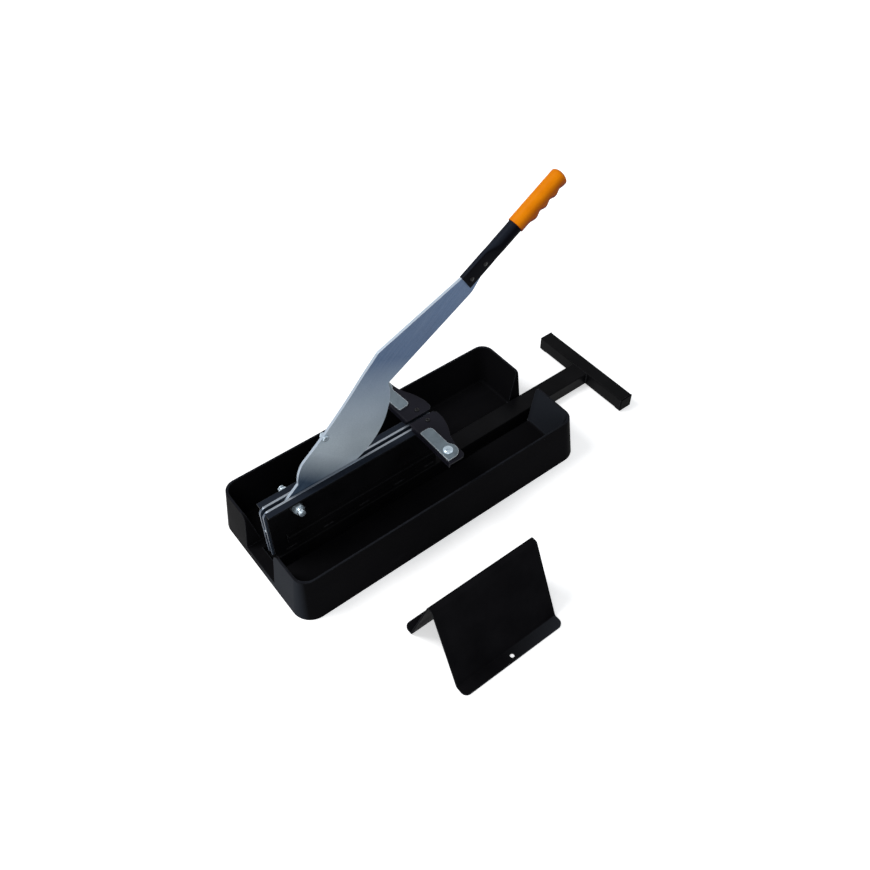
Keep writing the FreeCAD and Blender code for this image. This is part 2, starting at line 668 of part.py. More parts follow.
def wing():
    body = new_body("wing_far")
    outline = plane_sketch(body, "wing_outline", "XY_Plane", WING_TOP + " - wing_thickness")
    rear, front = size["wing_start"], size["wing_start"] + size["wing_depth"]
    waist = size["wing_start"] + size["wing_tip_depth"]
    slot, reach = size["wing_slot"] / 2, size["wing_reach"]
    shoulder, narrow = size["wing_shoulder"], size["wing_waist"]
    middle = waist + 0.34 * (front - waist)
    draw(outline,
         line((rear, slot), (front - 6, slot)),
         line((front - 6, slot), (front, slot + 6)),
         line((front, slot + 6), (front, shoulder)),
         arc((front, shoulder), (0.68 * front + 0.32 * middle, (shoulder + narrow) / 2 - 1), (middle, narrow)),
         arc((middle, narrow), (waist + 1.9, narrow + 19), (waist, reach - 10)),
         arc((waist, reach - 10), (waist - 2.8, reach - 2.8), (waist - 10, reach)),
         line((waist - 10, reach), (rear, reach)),
         line((rear, reach), (rear, slot)))
    pad(body, outline, "wing_thickness")
    lip = plane_sketch(body, "wing_lip", "XY_Plane", "rail_top")
    inner, outer = size["lip_start"], reach - 4
    draw(lip, *rounded((rear, inner, 0), (rear + size["wing_thickness"], inner, 0),
                       (rear + size["wing_thickness"], outer, 0), (rear, outer, 0)))
    sheet_pad = pad(body, lip, "wing_rise - wing_thickness")
    top = size["rail_top"] + size["wing_rise"]
    fillet(body, sheet_pad, lambda middle, edge: math.hypot(middle.x - rear, middle.z - top) < 0.01,
           "wing_thickness - 0.5")
    holes = plane_sketch(body, "wing_holes", "XY_Plane")
    circle(holes, "wing_hole_place", "wing_hole_side", "wing_screw + 2 * running_clearance")
    circle(holes, "fence_bolt_place", "fence_bolt_side", "fence_bolt + 2 * running_clearance")
    pocket(body, holes)
    return body


keep("wing_near", mirrored("wing_near", wing()))


def wing_fixing(kind, side):
    """Hexagon spacer, or screw that is tapped into the rail flange."""
    name = "wing_%s%d" % (kind, side + 2)
    x, y = "wing_hole_place", "%d * wing_hole_side" % side
    gap = "wing_rise - wing_thickness"
    if kind == "spacer":
        bore = rod(name + "_in", "wing_screw + 2 * running_clearance", gap + " + 2", x, y, "rail_top - 1")
        return cut(name, hexagon(name + "_hex", "wing_spacer", gap, x, y, "rail_top"), bore)
    shank = rod(name + "_shank", "wing_screw", "wing_rise + flange_thickness + 1.5", x, y,
                "rail_top - flange_thickness - 1.5")
    head = rod(name + "_head", "wing_screw_head", "2.6", x, y, WING_TOP)
    return fuse(name, shank, head)


for kind in ("spacer", "screw"):
    keep("wing_%ss" % kind, group("wing_%ss" % kind, wing_fixing(kind, -1), wing_fixing(kind, 1)))


# Fence plates: a bar that ends in a round lobe, each turning on its own bolt
def fence_plate(node, side, swing):
    body = new_body(node)
    outline = plane_sketch(body, node + "_outline", "XY_Plane")
    place, across = size["fence_bolt_place"], size["fence_bolt_side"]
    left, right = size["fence_start"] - place, size["fence_start"] + size["fence_width"] - place
    inner, outer = size["fence_inner"] - across, size["fence_outer"] - across
    radius = size["fence_lobe"]
    hub = Vector(0, outer - radius)
    hollow_round = 8.0
    hollow_x = right + hollow_round
    hollow_y = hub.y - math.sqrt((radius + hollow_round) ** 2 - hollow_x ** 2)
    hollow_hub = Vector(hollow_x, hollow_y)
    leave = hub + (hollow_hub - hub).normalize() * radius
    land = Vector(right, hollow_y)
    between = hollow_hub + ((leave - hollow_hub) + (land - hollow_hub)).normalize() * hollow_round
    east = hub + Vector(0.9, 0.436) * radius
    first_round = round_corner(Vector(left, 0), Vector(left, inner), Vector(0, inner), 3.0)
    second_round = round_corner(Vector(0, inner), Vector(right, inner), land, 8.0)
    pieces = (
        first_round,
        (first_round[2], second_round[0]),
        second_round,
        (second_round[2], land),
        (land, between, leave),
        (leave, east, Vector(0, outer)),
        (Vector(0, outer), Vector(left, outer)),
        (Vector(left, outer), first_round[0]),
    )
    curves = []
    for points in pieces:
        ends = [Vector(point.x, side * point.y) for point in points]
        curves.append(Part.Arc(*ends) if len(ends) == 3 else Part.LineSegment(*ends))
    draw(outline, *curves)
    pad(body, outline, "fence_thickness")
    bore = plane_sketch(body, node + "_bore", "XY_Plane")
    circle(bore, "0", "0", "fence_bolt + 2 * running_clearance")
    pocket(body, bore)
    return put(body, "fence_bolt_place", "%d * fence_bolt_side" % side, WING_TOP,
               Rotation(Vector(0, 0, 1), swing))


fence_plate("fence_plate_near", -1, 0.0)
fence_plate("fence_plate_far", 1, size["far_fence_swing"])


def fence_fixing(kind, side):
    """Round-headed bolt or lock nut of a fence plate."""
    name = "fence_%s%d" % (kind, side + 2)
    x, y = "fence_bolt_place", "%d * fence_bolt_side" % side
    if kind == "nut":
        start = WING_TOP + " - wing_thickness - fence_nut_height"
        flats = hexagon(name + "_hex", "fence_nut_flats", "fence_nut_height", x, y, start)
        bore = rod(name + "_in", "fence_bolt + 2 * running_clearance", "fence_nut_height + 2", x, y,
                   start + " - 1")
        return cut(name, flats, bore)
    length = "fence_thickness + wing_thickness + fence_nut_height + 2.5"
    top = WING_TOP + " + fence_thickness"
    shank = rod(name + "_shank", "fence_bolt", length, x, y, "%s - (%s)" % (top, length))
    head = rod(name + "_head", "fence_head", "fence_head_height", x, y, top)
    return fuse(name, shank, head)


for kind in ("bolt", "nut"):
    keep("fence_%ss" % kind, group("fence_%ss" % kind, fence_fixing(kind, -1), fence_fixing(kind, 1)))


# Blade lever, drawn about the pivot; along and out are measured in the handle's own direction
HANDLE = Rotation(Vector(0, 1, 0), -size["handle_angle"])
TONGUE_TOP = size["handle_diameter"] / 2 - size["handle_wall"] - 1.6
TONGUE_LOW = 3.5 - size["flat_width"] / 2
HANDLE_ROUND = "flat_length + flat_blend"


def from_handle(along, out):
    """Point of the blade sketch from handle coordinates."""
    turned = HANDLE * Vector(along, 0, out)
    return Vector(size["handle_reach"] + turned.x, size["handle_rise"] + turned.z)


def blade_plate():
    body = new_body("blade_plate")
    outline = plane_sketch(body, "blade_outline", "XZ_Plane")
    eye = size["blade_eye"]
    nose = Vector(size["nose_reach"], size["nose_rise"])
    heel = Vector(size["heel_reach"], size["heel_rise"])
    bend = Vector(size["bend_reach"], size["bend_rise"])
    neck = Vector(eye + 1, 2 * eye + 3.6)
    neck_end = neck + Vector(15, 41.5)
    knee = neck_end + Vector(129, 121.4)
    spread = math.acos(eye / neck.Length)
    tangent = math.atan2(neck.y, neck.x) + spread
    leave = Vector(eye * math.cos(tangent), eye * math.sin(tangent))
    shoulder = from_handle(-0.3, size["flat_width"] / 2)
    bend_start, bend_middle, bend_end = round_corner(knee, bend, shoulder, size["bend_round"])
    under = from_handle(39, TONGUE_LOW)
    heel_start, heel_middle, heel_end = round_corner(under, heel, nose, size["heel_round"])
    tongue_end = size["flat_length"] - size["tongue_gap"]
    tongue = (from_handle(-0.3, TONGUE_TOP), from_handle(tongue_end, TONGUE_TOP),
              from_handle(tongue_end, TONGUE_LOW))
    throat = nose + Vector(-3.3, -55.2)
    belly = nose + Vector(-61.3, -132.0)
    draw(outline,
         arc((0, -eye), (-eye, 0), leave),
         Part.LineSegment(leave, neck),
         Part.Arc(neck, neck + Vector(4.6, 22.9), neck_end),
         Part.Arc(neck_end, (neck_end + knee) * 0.5 + Vector(4.4, -1.2), knee),
         Part.LineSegment(knee, bend_start),
         Part.Arc(bend_start, bend_middle, bend_end),
         Part.LineSegment(bend_end, shoulder),
         Part.LineSegment(shoulder, tongue[0]),
         Part.LineSegment(tongue[0], tongue[1]),
         Part.LineSegment(tongue[1], tongue[2]),
         Part.LineSegment(tongue[2], under),
         Part.LineSegment(under, heel_start),
         Part.Arc(heel_start, heel_middle, heel_end),
         Part.LineSegment(heel_end, nose),
         Part.Arc(nose, nose + Vector(2.6, -30), throat),
         Part.Arc(throat, throat + Vector(-34, -58.8), belly),
         Part.Arc(belly, Vector(belly.x * 0.56, belly.y - 27), Vector(0, -eye)))
    pad(body, outline, "blade_thickness", middle=True)
    holes = plane_sketch(body, "blade_holes", "XZ_Plane")
    circle(holes, "0", "0", "pivot_diameter + 2 * running_clearance")
    circle(holes, "stud_reach", "stud_rise", "stud_diameter + 2 * running_clearance")
    for along in ("rivet_place", "rivet_place + rivet_pitch"):
        along_x, drop_x = "(%s) * cos(handle_angle * 1deg)" % along, "rivet_drop * sin(handle_angle * 1deg)"
        along_z, drop_z = "(%s) * sin(handle_angle * 1deg)" % along, "rivet_drop * cos(handle_angle * 1deg)"
        circle(holes, "handle_reach + %s + %s" % (along_x, drop_x),
               "handle_rise + %s - %s" % (along_z, drop_z), "rivet_diameter + 2 * running_clearance")
    pocket(body, holes)
    return put(body, PIVOT_X, "0", PIVOT_Z)


blade_plate()


def at_handle(thing, along="0"):
    """Move a piece drawn along X onto the handle's axis."""
    return put(thing, "%s + handle_reach + (%s) * cos(handle_angle * 1deg)" % (PIVOT_X, along), "0",
               "%s + handle_rise + (%s) * sin(handle_angle * 1deg)" % (PIVOT_Z, along), HANDLE)


def handle_outside():
    """Outside of the handle tube, pressed flat where it holds the blade."""
    half, thick, radius = size["flat_width"] / 2, size["flat_thickness"], size["handle_diameter"] / 2 - 0.4
    flat = size["flat_length"]
    begin = flat + size["flat_blend"]
    side_view = rounded((0, half, 0), (0, -half, 0), (flat, -half, 0), (begin, -radius, 0),
                        (begin, radius, 0), (flat, half, 0))
    cheeks = free_sketch("handle_side", side_view, Placement(Vector(0, thick / 2, 0), IN_XZ))
    soft = doc.addObject("Part::Fillet", "handle_soft")
    soft.Base = extrusion("handle_pressed", cheeks, "flat_thickness")
    along = edges_where(soft.Base, lambda middle, edge: edge.BoundBox.YLength < 0.01 < edge.BoundBox.XLength)
    soft.Edges = [(int(edge[4:]), size["flat_round"], size["flat_round"]) for edge in along]
    pinch = doc.addObject("Part::Wedge", "handle_pinch")
    for end, reach in (("", "flat_thickness / 2 - 0.1"), ("2", "handle_diameter / 2")):
        bind(pinch, **{"X%smin" % end: "-(%s)" % reach, "X%smax" % end: reach,
                       "Z%smin" % end: "-handle_diameter", "Z%smax" % end: "handle_diameter"})
    bind(pinch, Ymin="0", Ymax="flat_blend")
    put(pinch, "flat_length", turn=Rotation(Vector(0, 0, 1), -90))
    neck = doc.addObject("Part::Common", "handle_neck")
    neck.Base = rod("handle_bar", "handle_diameter", "flat_blend", "flat_length", "0", "0", ALONG_X)
    neck.Tool = pinch
    return fuse("handle_outside", soft, neck,
                rod("handle_round", "handle_diameter", "handle_length - grip_end - (%s)" % HANDLE_ROUND,
                    HANDLE_ROUND, "0", "0", ALONG_X))


slit = box("handle_slit", "flat_length + 1", "blade_thickness + 2 * slit_clearance", "2 * flat_width",
           "-1", "-blade_thickness / 2 - slit_clearance", "%s + slit_clearance - 2 * flat_width" % TONGUE_TOP)
bore = rod("handle_bore", "handle_diameter - 2 * handle_wall", "handle_length - (%s)" % HANDLE_ROUND,
           HANDLE_ROUND, "0", "0", ALONG_X)
rivet_bores = [rod("rivet_bore%d" % count, "rivet_diameter + 2 * running_clearance", "2 * flat_thickness",
                   along, "-flat_thickness", "-rivet_drop", ALONG_Y)
               for count, along in enumerate(("rivet_place", "rivet_place + rivet_pitch"))]
handle = cut("handle", handle_outside(), bore, slit, *rivet_bores)
keep("handle_tube", at_handle(handle))


def rivet(name, along):
    """Rivet that stands out on both sides."""
    half = "(flat_thickness / 2 + rivet_rise)"
    return rod(name, "rivet_diameter", "2 * " + half, along, "-" + half, "-rivet_drop", ALONG_Y)


rivets = group("rivets", rivet("rivet_low", "rivet_place"), rivet("rivet_high", "rivet_place + rivet_pitch"))
keep("handle_rivets", at_handle(rivets))


def grip():
    """Straight round grip with finger ridges on its lower side."""
    length, radius = size["grip_length"], size["grip_diameter"] / 2
    straight = rod("grip_straight", "grip_diameter", "grip_length - grip_end", "0", "0", "0", ALONG_X)
    end = cone("grip_taper", "grip_diameter / 2", "grip_end_radius", "grip_end", "grip_length - grip_end",
               "0", "0", ALONG_X)
    low, high = -radius, -radius - size["ridge_height"]
    middle, half = (low + high) / 2, size["ridge_half"]
    peaks = [size["first_ridge"] + count * size["ridge_pitch"] for count in range(3)]
    start, swell = peaks[0] - 14, length - 16.7
    curves = [arc((start, low + 0.5), (peaks[0] - half - 3, low - 0.4), (peaks[0] - half, middle))]
    for peak in peaks:
        curves.append(arc((peak - half, middle), (peak, high), (peak + half, middle)))
        groove_end = (peak + size["ridge_pitch"] - half, middle) if peak < peaks[2] else (swell, low - 1.2)
        groove_middle = ((peak + half + groove_end[0]) / 2, low + 0.2)
        curves.append(arc((peak + half, middle), groove_middle, groove_end))
    curves.append(arc((swell, low - 1.2), (length - 9.7, low - size["end_ridge"]), (length - 3.2, low - 1.6)))
    curves.append(line((length - 3.2, low - 1.6), (length - 1.5, low + 1)))
    curves.append(line((length - 1.5, low + 1), (length - 1.5, 0)))
    curves.append(line((length - 1.5, 0), (start, 0)))
    curves.append(line((start, 0), (start, low + 0.5)))
    waves = free_sketch("grip_waves", curves, Placement(Vector(0, radius, 0), IN_XZ))
    ridges = doc.addObject("Part::Common", "grip_ridges")
    ridges.Base = extrusion("grip_fingers", waves, "grip_diameter")
    ridges.Tool = rod("grip_lower", "grip_diameter", "grip_length", "0", "0", "-grip_swell", ALONG_X)
    bore = rod("grip_bore", "handle_diameter + 2 * grip_fit", "grip_length - grip_end + 1", "-1", "0", "0",
               ALONG_X)
    whole = cut("grip", fuse("grip_whole", straight, end, ridges), bore)
    return keep("handle_grip", at_handle(whole, "handle_length - grip_length + 1"))


grip()


# Small bolt through the blade
def blade_fixing(name, length, start, diameter):
    return rod(name, diameter, length, PIVOT_X + " + stud_reach", start, PIVOT_Z + " + stud_rise", ALONG_Y)


def blade_hexagon(name, start):
    return hexagon(name, "stud_flats", "stud_head", PIVOT_X + " + stud_reach", start,
                   PIVOT_Z + " + stud_rise", ALONG_Y)


keep("blade_bolt", fuse("small_bolt",
                        blade_fixing("small_shank", "blade_thickness + 2 * stud_head + stud_tip",
                                     "-blade_thickness / 2 - stud_head", "stud_diameter"),
                        blade_hexagon("small_head", "-blade_thickness / 2 - stud_head")))
keep("blade_bolt_nut", cut("small_nut", blade_hexagon("small_hex", "blade_thickness / 2"),
                           blade_fixing("small_bore", "stud_head + 2", "blade_thickness / 2 - 1",
                                        "stud_diameter + 2 * running_clearance")))


# Support stand: one sheet bent to an inverted V with two feet
def stand():
    body = new_body("stand_sheet")
    section = plane_sketch(body, "stand_section", "YZ_Plane", "-stand_place")
    ridge, top = -size["stand_side"], size["rail_top"]
    thick, half = size["stand_thickness"], size["ridge_width"] / 2
    front, rear = ridge - size["stand_front_run"], ridge + size["stand_rear_run"]
    tight, wide = size["stand_bend"], size["stand_bend"] + thick
    outside = [Vector(front - size["front_foot"], thick), Vector(front, thick), Vector(ridge - half, top),
               Vector(ridge + half, top), Vector(rear, thick), Vector(rear + size["rear_foot"], thick)]
    bends = (0, tight, wide, wide, tight, 0)
    corners = [(point.x, point.y, bend) for point, bend in zip(outside, bends)]
    for here in range(5, -1, -1):
        back = (outside[here] - outside[here - 1]).normalize() if here else None
        ahead = (outside[here + 1] - outside[here]).normalize() if here < 5 else None
        normals = [Vector(way.y, -way.x) for way in (back, ahead) if way]
        if len(normals) == 1:
            inner = outside[here] + normals[0] * thick
        else:
            along = (normals[0] + normals[1]).normalize()
            inner = outside[here] + along * (thick / along.dot(normals[0]))
        corners.append((inner.x, inner.y, {tight: wide, wide: tight, 0: 0}[bends[here]]))
    draw(section, *rounded(*corners))
    bent = pad(body, section, "stand_width", middle=True)
    fillet(body, bent, lambda middle, edge: middle.z < thick and upright(edge), "stand_corner")
    bore = plane_sketch(body, "stand_bore", "XY_Plane")
    circle(bore, "-stand_place", "-stand_side - stand_front_run - front_foot / 2 - 1", "stand_hole")
    feature = body.newObject("PartDesign::Pocket", "stand_bore_pocket")
    feature.Profile = bore
    feature.SideType = "Symmetric"
    bind(feature, Length="4 * stand_thickness")
    return body


stand()

doc.recompute()
os.makedirs("parts", exist_ok=True)
for item in doc.Objects:
    if "Invalid" in item.State or "Error" in item.State:
        raise ValueError("%s: %s" % (item.Name, item.State))
for node, item in nodes.items():
    shape = item.Shape
    if shape.isNull() or not shape.isValid() or not shape.Solids:
        raise ValueError("%s has no valid solid" % node)
    shape.exportStep("parts/%s.step" % node)
    print(node, len(shape.Solids), round(shape.Volume), shape.BoundBox)
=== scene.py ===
import json
import math

import bmesh
import bpy
from mathutils import Matrix, Vector


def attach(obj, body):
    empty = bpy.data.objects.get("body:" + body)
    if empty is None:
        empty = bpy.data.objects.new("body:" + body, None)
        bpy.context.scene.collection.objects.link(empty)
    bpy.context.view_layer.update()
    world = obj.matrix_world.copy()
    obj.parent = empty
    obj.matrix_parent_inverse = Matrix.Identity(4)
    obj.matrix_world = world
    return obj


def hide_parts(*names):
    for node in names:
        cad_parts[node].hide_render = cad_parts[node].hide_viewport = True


MM = 0.001
SIDES = (-1, 1)

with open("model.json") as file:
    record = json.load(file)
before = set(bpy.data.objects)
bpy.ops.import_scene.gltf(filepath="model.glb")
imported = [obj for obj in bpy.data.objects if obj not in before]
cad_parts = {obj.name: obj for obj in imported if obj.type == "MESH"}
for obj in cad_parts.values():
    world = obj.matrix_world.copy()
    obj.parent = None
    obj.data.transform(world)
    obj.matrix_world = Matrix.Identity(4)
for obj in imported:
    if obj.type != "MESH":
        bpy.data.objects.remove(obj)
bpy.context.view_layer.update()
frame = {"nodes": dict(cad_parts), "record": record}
NODES = frame["nodes"]
BODIES = frame["record"]["behaviour"]["bodies"]
SLOT_OF = {part["node"]: part["material_slot"] for part in frame["record"]["subparts"]}
BODY_OF = {node: body for body, members in BODIES.items() for node in members}


# Materials: small helpers round the node tree
class Finish:
    """A material with a Principled shader and short ways to feed it."""

    def __init__(self, name, colour, roughness, metallic=0.0, specular=0.5):
        self.material = bpy.data.materials.new(name)
        self.material.use_nodes = True
        self.tree = self.material.node_tree
        self.shader = self.tree.nodes["Principled BSDF"]
        self.shader.inputs["Base Color"].default_value = (*colour, 1)
        self.shader.inputs["Roughness"].default_value = roughness
        self.shader.inputs["Metallic"].default_value = metallic
        self.shader.inputs["Specular IOR Level"].default_value = specular
        self.normal = None

    def node(self, kind, **settings):
        made = self.tree.nodes.new(kind)
        for key, value in settings.items():
            setattr(made, key, value)
        return made

    def link(self, out, into):
        self.tree.links.new(out, into)

    def where(self, stretch=(1, 1, 1), turn=(0, 0, 0)):
        """Object coordinates, turned and then stretched."""
        coordinates = self.node("ShaderNodeTexCoord")
        turned_to = self.node("ShaderNodeMapping")
        turned_to.inputs["Rotation"].default_value = turn
        stretched = self.node("ShaderNodeMapping")
        stretched.inputs["Scale"].default_value = stretch
        self.link(coordinates.outputs["Object"], turned_to.inputs["Vector"])
        self.link(turned_to.outputs["Vector"], stretched.inputs["Vector"])
        return stretched.outputs["Vector"]

    def noise(self, scale, detail=3.0, rough=0.55, stretch=(1, 1, 1), turn=(0, 0, 0)):
        texture = self.node("ShaderNodeTexNoise")
        texture.inputs["Scale"].default_value = scale
        texture.inputs["Detail"].default_value = detail
        texture.inputs["Roughness"].default_value = rough
        self.link(self.where(stretch, turn), texture.inputs["Vector"])
        return texture.outputs["Fac"]

    def cell_tone(self, scale):
        """One random grey for each cell."""
        texture = self.node("ShaderNodeTexVoronoi")
        texture.inputs["Scale"].default_value = scale
        self.link(self.where(), texture.inputs["Vector"])
        split = self.node("ShaderNodeSeparateColor")
        self.link(texture.outputs["Color"], split.inputs["Color"])
        return split.outputs["Red"]

    def along(self, direction, low, high):
        """0 at one place along a direction and 1 at another."""
        project = self.node("ShaderNodeVectorMath", operation="DOT_PRODUCT")
        project.inputs[1].default_value = direction
        self.link(self.where(), project.inputs[0])
        return self.band(project.outputs["Value"], low, high)

    def facing(self, axis):
        """How far the surface looks along one of the object's axes, from -1 to 1."""
        coordinates = self.node("ShaderNodeTexCoord")
        split = self.node("ShaderNodeSeparateXYZ")
        self.link(coordinates.outputs["Normal"], split.inputs["Vector"])
        return split.outputs[axis]

    def band(self, value, low, high, to_low=0.0, to_high=1.0):
        """Value mapped from low..high to another range, clamped."""
        remap = self.node("ShaderNodeMapRange")
        for name, number in (("From Min", low), ("From Max", high), ("To Min", to_low), ("To Max", to_high)):
            remap.inputs[name].default_value = number
        self.link(value, remap.inputs["Value"])
        return remap.outputs["Result"]

    def maths(self, operation, first, second):
        step = self.node("ShaderNodeMath", operation=operation)
        for socket, value in zip(step.inputs, (first, second)):
            if isinstance(value, (int, float)):
                socket.default_value = value
            else:
                self.link(value, socket)
        return step.outputs["Value"]

    def times(self, first, second):
        return self.maths("MULTIPLY", first, second)

    def plus(self, first, second):
        return self.maths("ADD", first, second)

    def blend(self, factor, first, second):
        """Colour between two colours or two links."""
        mix = self.node("ShaderNodeMix", data_type="RGBA")
        self.link(factor, mix.inputs[0])
        for index, value in ((6, first), (7, second)):
            if isinstance(value, tuple):
                mix.inputs[index].default_value = (*value, 1)
            else:
                self.link(value, mix.inputs[index])
        return mix.outputs[2]

    def edges(self, radius, low=0.02, high=0.2):
        """1 along sharp edges: how far the rounded normal leaves the true one."""
        rounded = self.node("ShaderNodeBevel", samples=4)
        rounded.inputs["Radius"].default_value = radius
        plain_normal = self.node("ShaderNodeNewGeometry")
        product = self.node("ShaderNodeVectorMath", operation="DOT_PRODUCT")
        self.link(rounded.outputs["Normal"], product.inputs[0])
        self.link(plain_normal.outputs["True Normal"], product.inputs[1])
        return self.band(self.maths("SUBTRACT", 1.0, product.outputs["Value"]), low, high)

    def colour(self, value):
        self.link(value, self.shader.inputs["Base Color"])

    def roughness(self, value):
        self.link(value, self.shader.inputs["Roughness"])

    def bump(self, height, distance, strength=1.0):
        step = self.node("ShaderNodeBump")
        step.inputs["Distance"].default_value = distance
        step.inputs["Strength"].default_value = strength
        self.link(height, step.inputs["Height"])
        if self.normal:
            self.link(self.normal, step.inputs["Normal"])
        self.normal = step.outputs["Normal"]
        self.link(self.normal, self.shader.inputs["Normal"])


def moulded_plastic():
    """Black moulded plastic: fine grain and faint scuffs; a painted reflection on the near half of the rear
    end, painted highlights along the rim and rounded edges, and rubbed edges that are partly wear and partly
    painted highlight.
    """
    black, greyer = (0.0028, 0.0028, 0.0034), (0.0062, 0.006, 0.0066)
    rear_painted_reflection, scuffed, corner = (0.019, 0.0215, 0.027), (0.016, 0.016, 0.018), (0.016, 0.0165, 0.02)
    rim_tone, bare_and_highlit = (0.012, 0.013, 0.0165), (0.055, 0.058, 0.068)
    skin = Finish("tray_plastic", black, 0.33, specular=0.0028)
    cloud = skin.noise(9.0, 4.0)
    scuff = skin.band(skin.noise(60.0, 6.0, 0.7, stretch=(0.25, 1, 1)), 0.6, 0.75)
    rubbed = skin.times(skin.edges(0.0009, 0.03, 0.16), skin.band(skin.noise(120.0), 0.25, 0.55))
    rear_face = skin.band(skin.facing("X"), -0.6, -0.93)
    near_half = skin.along((0, 1, 0), 0.01, -0.04)
    rim_top = skin.along((0, 0, 1), 0.0941, 0.09448)
    rim_highlight_patches = skin.band(skin.noise(45.0, 4.0), 0.3, 0.6, 0.3, 1.0)
    tone = skin.blend(cloud, black, greyer)
    # Painted reflection: the near half of the rear end wall is made paler and bluer.
    tone = skin.blend(skin.times(rear_face, near_half), tone, rear_painted_reflection)
    tone = skin.blend(skin.times(scuff, 0.15), tone, scuffed)
    # Painted highlight: the broad rounded edges and floor fillets are made paler.
    tone = skin.blend(skin.times(skin.edges(0.004, 0.01, 0.2), 0.5), tone, corner)
    # Painted highlight along the crest of the rim, broken into patches.
    tone = skin.blend(skin.times(rim_top, rim_highlight_patches), tone, rim_tone)
    # Rubbed edges: partly wear, partly painted highlight.
    skin.colour(skin.blend(skin.times(rubbed, 0.85), tone, bare_and_highlit))
    skin.roughness(skin.plus(skin.band(cloud, 0.3, 0.7, 0.28, 0.4), skin.times(scuff, 0.12)))
    skin.bump(skin.noise(900.0, 2.0), 0.00003, 0.5)
    skin.bump(skin.noise(22.0, 2.0), 0.0003, 0.2)
    return skin.material


def powder_coat(name, colour, roughness=0.3, specular=0.025, painted_sheen=None):
    """Powder coat: orange-peel skin, cloudy tone, bare edge spots that are partly wear and partly painted
    highlight, and optionally a painted sheen on upward faces.
    """
    bare_and_highlit = (0.06, 0.062, 0.068)
    skin = Finish(name, colour, roughness, specular=specular)
    cloud = skin.noise(14.0, 5.0)
    lighter = tuple(c * 1.7 + 0.001 for c in colour)
    tone = skin.blend(skin.band(cloud, 0.3, 0.75), colour, lighter)
    # Painted sheen: upward faces past a place along one direction are made paler, a painted highlight.
    if painted_sheen:
        direction, low, high, pale = painted_sheen
        upward = skin.band(skin.facing("Z"), 0.5, 0.95)
        tone = skin.blend(skin.times(upward, skin.along(direction, low, high)), tone, pale)
    # Bare edge spots: partly wear, partly painted highlight.
    spots = skin.band(skin.noise(180.0, 4.0), 0.3, 0.55)
    edge_wear_and_highlight = skin.times(skin.edges(0.0011, 0.01, 0.12), spots)
    skin.colour(skin.blend(skin.times(edge_wear_and_highlight, 0.7), tone, bare_and_highlit))
    skin.roughness(skin.band(cloud, 0.3, 0.7, roughness - 0.06, roughness + 0.08))
    skin.bump(skin.noise(420.0, 1.0), 0.00008, 0.5)
    skin.bump(skin.noise(2400.0, 1.0), 0.00001, 0.4)
    return skin.material


def zinc(name, colour, roughness, metallic, grain=(1, 1, 1), spangle=0.25, wear_and_highlight=0.6, milled=None,
         mottle=0.2):
    """Zinc-plated steel: rolled grain, cloudy plating, bright edges that are partly wear and partly painted
    highlight, milled tops behind the wings.
    """
    worn_and_highlit_edge_colour = (0.78, 0.82, 0.86)
    skin = Finish(name, colour, roughness, metallic)
    cloud = skin.noise(26.0, 5.0, 0.6)
    dark = tuple(c * (1 - mottle) for c in colour)
    pale = tuple(min(1.0, c * (1 + mottle)) for c in colour)
    tone = skin.blend(skin.band(cloud, 0.3, 0.7), dark, pale)
    if spangle:
        tone = skin.blend(skin.band(skin.cell_tone(140.0), 0.0, 1.0, 0.0, spangle), tone, pale)
    if milled:
        upward = skin.band(skin.facing("Z"), 0.86, 0.98)
        tone = skin.blend(skin.times(upward, skin.along((1, 0, 0), 0.02, 0.012)), tone, milled)
    # Bright edges: partly wear, partly painted highlight.
    worn_and_lit_edges = skin.times(skin.edges(0.0015, 0.008, 0.09), wear_and_highlight)
    skin.colour(skin.blend(worn_and_lit_edges, tone, worn_and_highlit_edge_colour))
    lines = skin.noise(260.0, 3.0, 0.6, stretch=grain)
    clouded = skin.band(cloud, 0.3, 0.7, roughness - 0.08, roughness + 0.08)
    skin.roughness(skin.plus(clouded, skin.band(lines, 0.3, 0.7, -0.05, 0.06)))
    skin.bump(lines, 0.00003, 0.5)
    return skin.material


